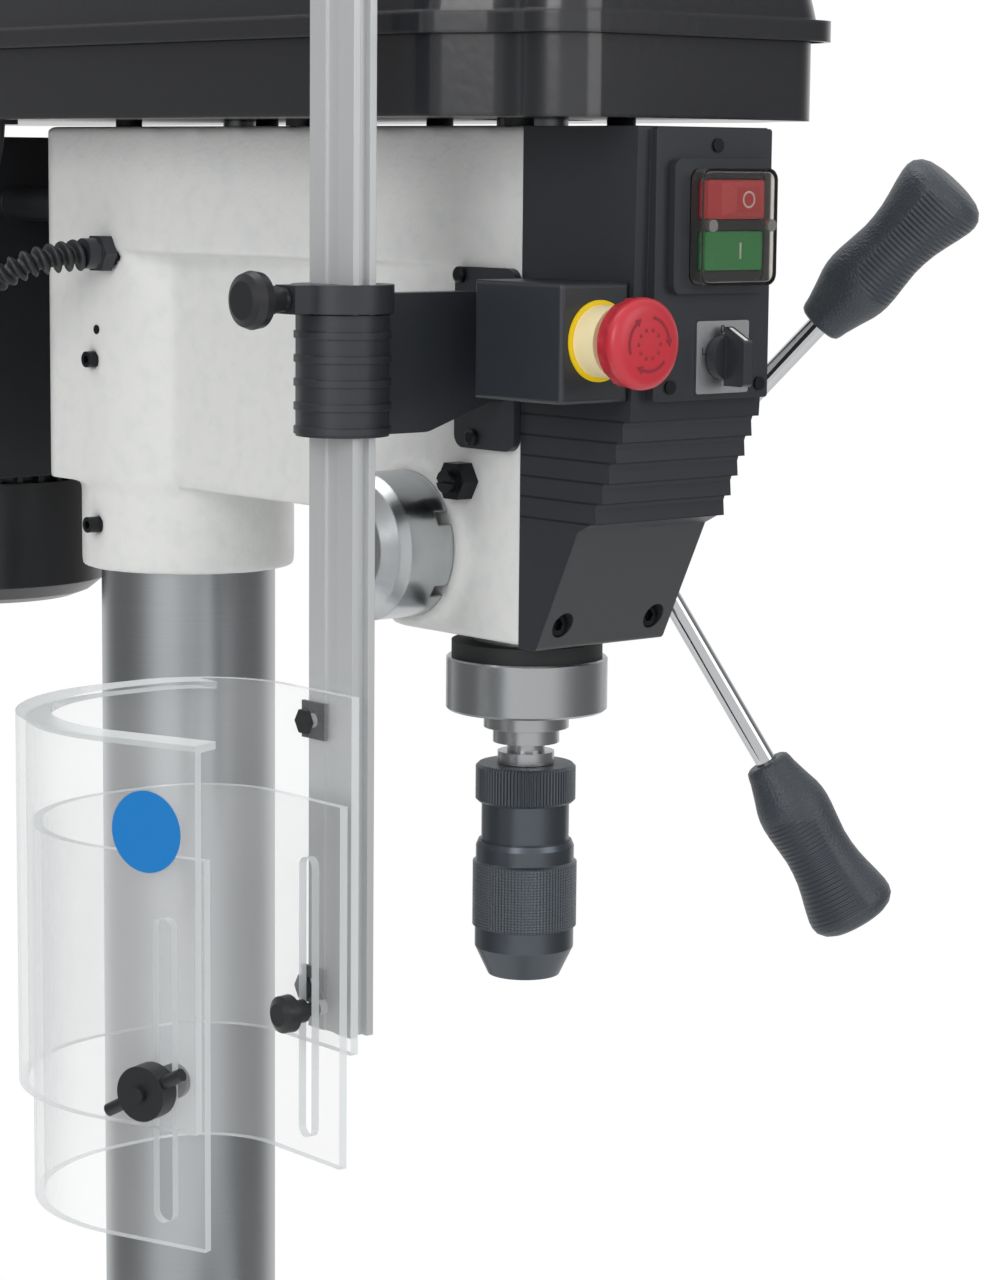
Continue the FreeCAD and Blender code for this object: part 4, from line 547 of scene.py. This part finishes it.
# ---- feed spokes and grips -----------------------------------------------------------
# Three chromed rods lean out of the hub. Each ends in a moulded black grip, waisted
# for the hand, grained like leather with a field of ribs on one side.
chrome = material("chromium_plated_steel", "#C6C8CA", 0.07, 1.0)[0]
dress(chrome, "chrome", "feed_spokes")
dress(black_oxide, "black_steel", "feed_hub")
HUB = Vector((0.094, -0.23075, 1.310))
LEAN = math.radians(22.0)
FIRST_TURN = -157.7
GRIP_START = 0.133
GRIP_PROFILE = (
    (0.0, 0.0052), (0.0, 0.0094), (0.0010, 0.0108), (0.0030, 0.0115), (0.0060, 0.0121),
    (0.0130, 0.0142), (0.0200, 0.0165), (0.0240, 0.0173), (0.0280, 0.0176), (0.0330, 0.0174),
    (0.0400, 0.0167), (0.0480, 0.0160), (0.0540, 0.0162), (0.0600, 0.0169), (0.0660, 0.0182),
    (0.0730, 0.0200), (0.0785, 0.0212), (0.0820, 0.0214), (0.0850, 0.0207), (0.0880, 0.0182),
    (0.0897, 0.0150), (0.0907, 0.0105), (0.0909, 0.0055), (0.0910, 0.0),
)
# each grip is pushed on its rod as it comes, so its ribbed side looks its own way;
# the field of ribs reaches RIB_ARC degrees round each way, between two places along it
RIBBED_SIDE = (Vector((-0.90, -0.35, -0.25)), Vector((-0.16, -0.96, -0.19)), Vector((-1.0, -0.30, 0.10)))
RIB_ARC = 56.0
RIBS_FROM = 0.027
RIBS_TO = 0.0825
GRIP_RIB_PITCH = 0.0023
leather, tree, shader, where = material("leather_grained_black_vinyl", "#3B4148", 0.42)
pebble = add(tree, "TexVoronoi", {"Scale": 950.0}, {"Vector": where}, feature="SMOOTH_F1")
length = add(tree, "Attribute", attribute_name="along")
facing = add(tree, "Attribute", attribute_name="facing")
ribs = calc(tree, "SINE", calc(tree, "MULTIPLY", length.outputs["Fac"], 2 * math.pi / GRIP_RIB_PITCH))
ribbed = calc(tree, "MULTIPLY", ribs, facing.outputs["Fac"])
plain = calc(tree, "SUBTRACT", 1.0, facing.outputs["Fac"])
pebbled = calc(tree, "MULTIPLY", pebble.outputs["Distance"], plain)
surface = calc(tree, "ADD", pebbled, calc(tree, "MULTIPLY", ribbed, 1.1))
relief(tree, shader, surface, 0.00032, 0.0004)
for k in range(3):
    turn = math.radians(FIRST_TURN + 120 * k)
    way = Vector((math.sin(LEAN), math.cos(LEAN) * math.sin(turn), math.cos(LEAN) * math.cos(turn)))
    bm = bmesh.new()
    chain = [bm.verts.new((radius, 0, dist)) for dist, radius in GRIP_PROFILE]
    edges = [bm.edges.new(pair) for pair in zip(chain, chain[1:])]
    bmesh.ops.subdivide_edges(bm, edges=edges, cuts=3)
    bmesh.ops.spin(bm, geom=bm.verts[:] + bm.edges[:], cent=(0, 0, 0), axis=(0, 0, 1), angle=2 * math.pi,
                   steps=64, use_merge=True, use_duplicate=False)
    bmesh.ops.remove_doubles(bm, verts=bm.verts, dist=0.00001)
    along = bm.verts.layers.float.new("along")
    facing = bm.verts.layers.float.new("facing")
    ahead = (RIBBED_SIDE[k] - way * RIBBED_SIDE[k].dot(way)).normalized()
    across = way.cross(ahead)
    place = Matrix((ahead, across, way)).transposed().to_4x4()
    for vertex in bm.verts:
        angle = abs(math.degrees(math.atan2(vertex.co.y, vertex.co.x)))
        dist = vertex.co.z
        vertex[along] = dist
        inner_end = RIBS_FROM + 0.008 * (angle / RIB_ARC) ** 2
        edge = min((RIB_ARC - angle) / 3.0, (dist - inner_end) / 0.0008, (RIBS_TO - dist) / 0.0008)
        vertex[facing] = max(0.0, min(1.0, edge))
    bmesh.ops.transform(bm, matrix=Matrix.Translation(HUB + way * GRIP_START) @ place, verts=bm.verts)
    bmesh.ops.recalc_face_normals(bm, faces=bm.faces)
    piece("grip_%d" % (k + 1), bm, leather, "feed", slot="black_plastic")
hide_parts("feed_grips")

# ---- return spring cap -------------------------------------------------------------
# A pressed cup of zinc-plated steel over the quill's spiral return spring, notched
# for setting, with a nut in the middle. The spring shares the finish.
zinc, tree, shader, where = material("zinc_plated_sheet_steel", "#BFC2C4", 0.24, 1.0)
cloud = add(tree, "TexNoise", {"Scale": 60.0, "Detail": 3.0}, {"Vector": where})
relief(tree, shader, cloud.outputs["Fac"], 0.0001, 0.0012)
dress(zinc, "zinc", "spring_cap", "return_spring")

# ---- keyless drill chuck ---------------------------------------------------------------
# Black-oxide steel: a straight-knurled ring, a plain neck, and the sleeve that is
# turned by hand, with a diamond knurl over its widest part.
chuck_steel, tree, shader, where = material("blackened_chuck_steel", "#5A5F65", 0.33, 0.9)
CHUCK_TOP = Vector((0.0, -0.26625, 1.2095))
DIAMONDS = 48
DIAMOND_HEIGHT = 0.0026
SLEEVE_KNURL = (-0.0750, -0.0455)
RING_KNURL_FROM = -0.0175
RING_TEETH = 90
centred = add(tree, "Mapping", {"Location": -CHUCK_TOP}, {"Vector": where})
axes = add(tree, "SeparateXYZ", {}, {"Vector": centred.outputs["Vector"]}).outputs
angle = calc(tree, "ARCTAN2", axes["Y"], axes["X"])
# the diamonds are coarser than a real 1.2 mm knurl, so that they show
around = calc(tree, "MULTIPLY", angle, DIAMONDS)
height = calc(tree, "MULTIPLY", axes["Z"], 2 * math.pi / DIAMOND_HEIGHT)
left = calc(tree, "SINE", calc(tree, "ADD", around, height))
right = calc(tree, "SINE", calc(tree, "SUBTRACT", around, height))
low = calc(tree, "GREATER_THAN", axes["Z"], SLEEVE_KNURL[0])
high = calc(tree, "LESS_THAN", axes["Z"], SLEEVE_KNURL[1])
knurl = calc(tree, "MULTIPLY", calc(tree, "MULTIPLY", left, right), calc(tree, "MULTIPLY", low, high))
on_ring = calc(tree, "GREATER_THAN", axes["Z"], RING_KNURL_FROM)
teeth = calc(tree, "SINE", calc(tree, "MULTIPLY", angle, RING_TEETH))
pattern = calc(tree, "ADD", knurl, calc(tree, "MULTIPLY", teeth, on_ring))
relief(tree, shader, pattern, 0.00028, 0.0005)
dress(chuck_steel, "black_steel", "chuck_body", "chuck_sleeve")
dress(turned, "steel", "chuck_jaw_1", "chuck_jaw_2", "chuck_jaw_3")
rubber = material("black_rubber", "#1D1E20", 0.6)[0]
dress(rubber, "rubber", "quill_bumper", "pan_feet")

# ---- belt cover -----------------------------------------------------------------------
# A deep-drawn sheet steel pan and a hinged lid, stove-enamelled gloss black.
gloss, tree, shader, where = material("gloss_black_stove_enamel", "#232428", 0.22,
                                      Coat_Weight=0.4, Coat_Roughness=0.12)
flow = add(tree, "TexNoise", {"Scale": 180.0, "Detail": 2.0}, {"Vector": where})
relief(tree, shader, flow.outputs["Fac"], 0.00008, 0.0020)
dress(gloss, "sheet", "belt_pan", "belt_lid")

# ---- pulleys and belts -----------------------------------------------------------------
# Cast aluminium step pulleys with turned grooves, and two wrapped rubber V-belts.
cast_alu, tree, shader, where = material("turned_cast_aluminium", "#B6B8BA", 0.38, 1.0)
tooling = add(tree, "TexNoise", {"Scale": 700.0}, {"Vector": where})
relief(tree, shader, tooling.outputs["Fac"], 0.00004, 0.0005)
dress(cast_alu, "alu", "spindle_pulley", "idler_pulley", "motor_pulley", "pulley_supports")
dress(rubber, "rubber", "drive_belts")

# ---- motor ----------------------------------------------------------------------------
# An induction motor with a ribbed housing and a pressed fan cover, both sprayed
# semi-gloss black, hung from a sliding plate behind the column.
semi_gloss, tree, shader, where = material("semi_gloss_black_paint", "#1F2023", 0.3,
                                           Coat_Weight=0.2, Coat_Roughness=0.2)
spray = add(tree, "TexNoise", {"Scale": 240.0}, {"Vector": where})
relief(tree, shader, spray.outputs["Fac"], 0.00008, 0.0010)
dress(semi_gloss, "sheet", "motor_body", "motor_fan_cover", "motor_plate")

# ---- chuck guard ------------------------------------------------------------------------
# A slotted aluminium rail carries two bent shields of clear polycarbonate, 4 mm
# thick with polished edges. The lower shield slides on the upper one.
anodised, tree, shader, where = material("natural_anodised_aluminium", "#D6D8D9", 0.42, 0.55)
drawn = add(tree, "Mapping", {"Scale": (2200.0, 2200.0, 10.0)}, {"Vector": where})
line = add(tree, "TexNoise", {"Scale": 1.0, "Detail": 3.0}, {"Vector": drawn.outputs["Vector"]})
relief(tree, shader, line.outputs["Fac"], 0.00004, 0.0004)
dress(anodised, "alu", "guard_rail")
polycarbonate, tree, shader, where = material("clear_polycarbonate", "#F4F6F7", 0.05, IOR=1.585)
# seen square on it all but vanishes; seen along the sheet more of its white diffuse shows, a painted sheen
# standing in for the sheet's grazing reflection
sheen = add(tree, "LayerWeight", {"Blend": 0.35}).outputs["Facing"]
grazing_painted_sheen = add(tree, "MapRange", {"From Min": 0.25, "From Max": 1.0, "To Min": 0.10, "To Max": 0.70},
           {"Value": sheen}, interpolation_type="SMOOTHSTEP")
tree.links.new(grazing_painted_sheen.outputs["Result"], shader.inputs["Alpha"])
# painted highlight: the shields' edge faces get a pale, nearly opaque white for the light their polished
# edges catch
edge_painted_highlight = material("polycarbonate_edge_painted_highlight", "#E6EAEC", 0.16, IOR=1.585, Alpha=0.72)[0]
dress(polycarbonate, "clear", "guard_upper", "guard_lower")
# BEND is the centre of the shields' bend; out points from it square through the front leg's
# sheet, and past runs along that leg
LEG_TURN = math.radians(200)
out = Vector((math.cos(LEG_TURN), math.sin(LEG_TURN), 0))
past = Vector((-math.sin(LEG_TURN), math.cos(LEG_TURN), 0))
BEND = Vector((-0.196, -0.298, 0))
FRONT_LEG_FROM = 0.060
REAR_LEG_X = -0.146
REAR_LEG_Y = -0.263
for name in ("guard_upper", "guard_lower"):
    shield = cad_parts[name].data
    shield.materials.append(edge_painted_highlight)
    for facet in shield.polygons:
        from_bend = facet.center - BEND
        front_leg = from_bend.dot(past) > 0.0005 and from_bend.dot(out) > FRONT_LEG_FROM
        rear_leg = facet.center.x > REAR_LEG_X and facet.center.y < REAR_LEG_Y
        if (abs(facet.normal.z) > 0.5 or front_leg and abs(facet.normal.dot(past)) > 0.5
                or rear_leg and abs(facet.normal.y) > 0.5):
            facet.material_index = 1

# A plain round blue label is stuck on the front leg of the upper shield.
blue = material("blue_vinyl_label", "#0A78C2", 0.4)[0]
LABEL_R = 0.0162
LABEL_Z = HEAD - 0.2577
middle = BEND + Vector((0, 0, LABEL_Z)) + out * 0.0822 + past * 0.023
bm = bmesh.new()
bmesh.ops.create_cone(bm, cap_ends=True, segments=64, radius1=LABEL_R, radius2=LABEL_R, depth=0.0003)
turned_out = Matrix((past, Vector((0, 0, 1)), out)).transposed().to_4x4()
bmesh.ops.transform(bm, matrix=Matrix.Translation(middle) @ turned_out, verts=bm.verts)
bmesh.ops.recalc_face_normals(bm, faces=bm.faces)
piece("round_label", bm, blue, "guard", smooth=False)
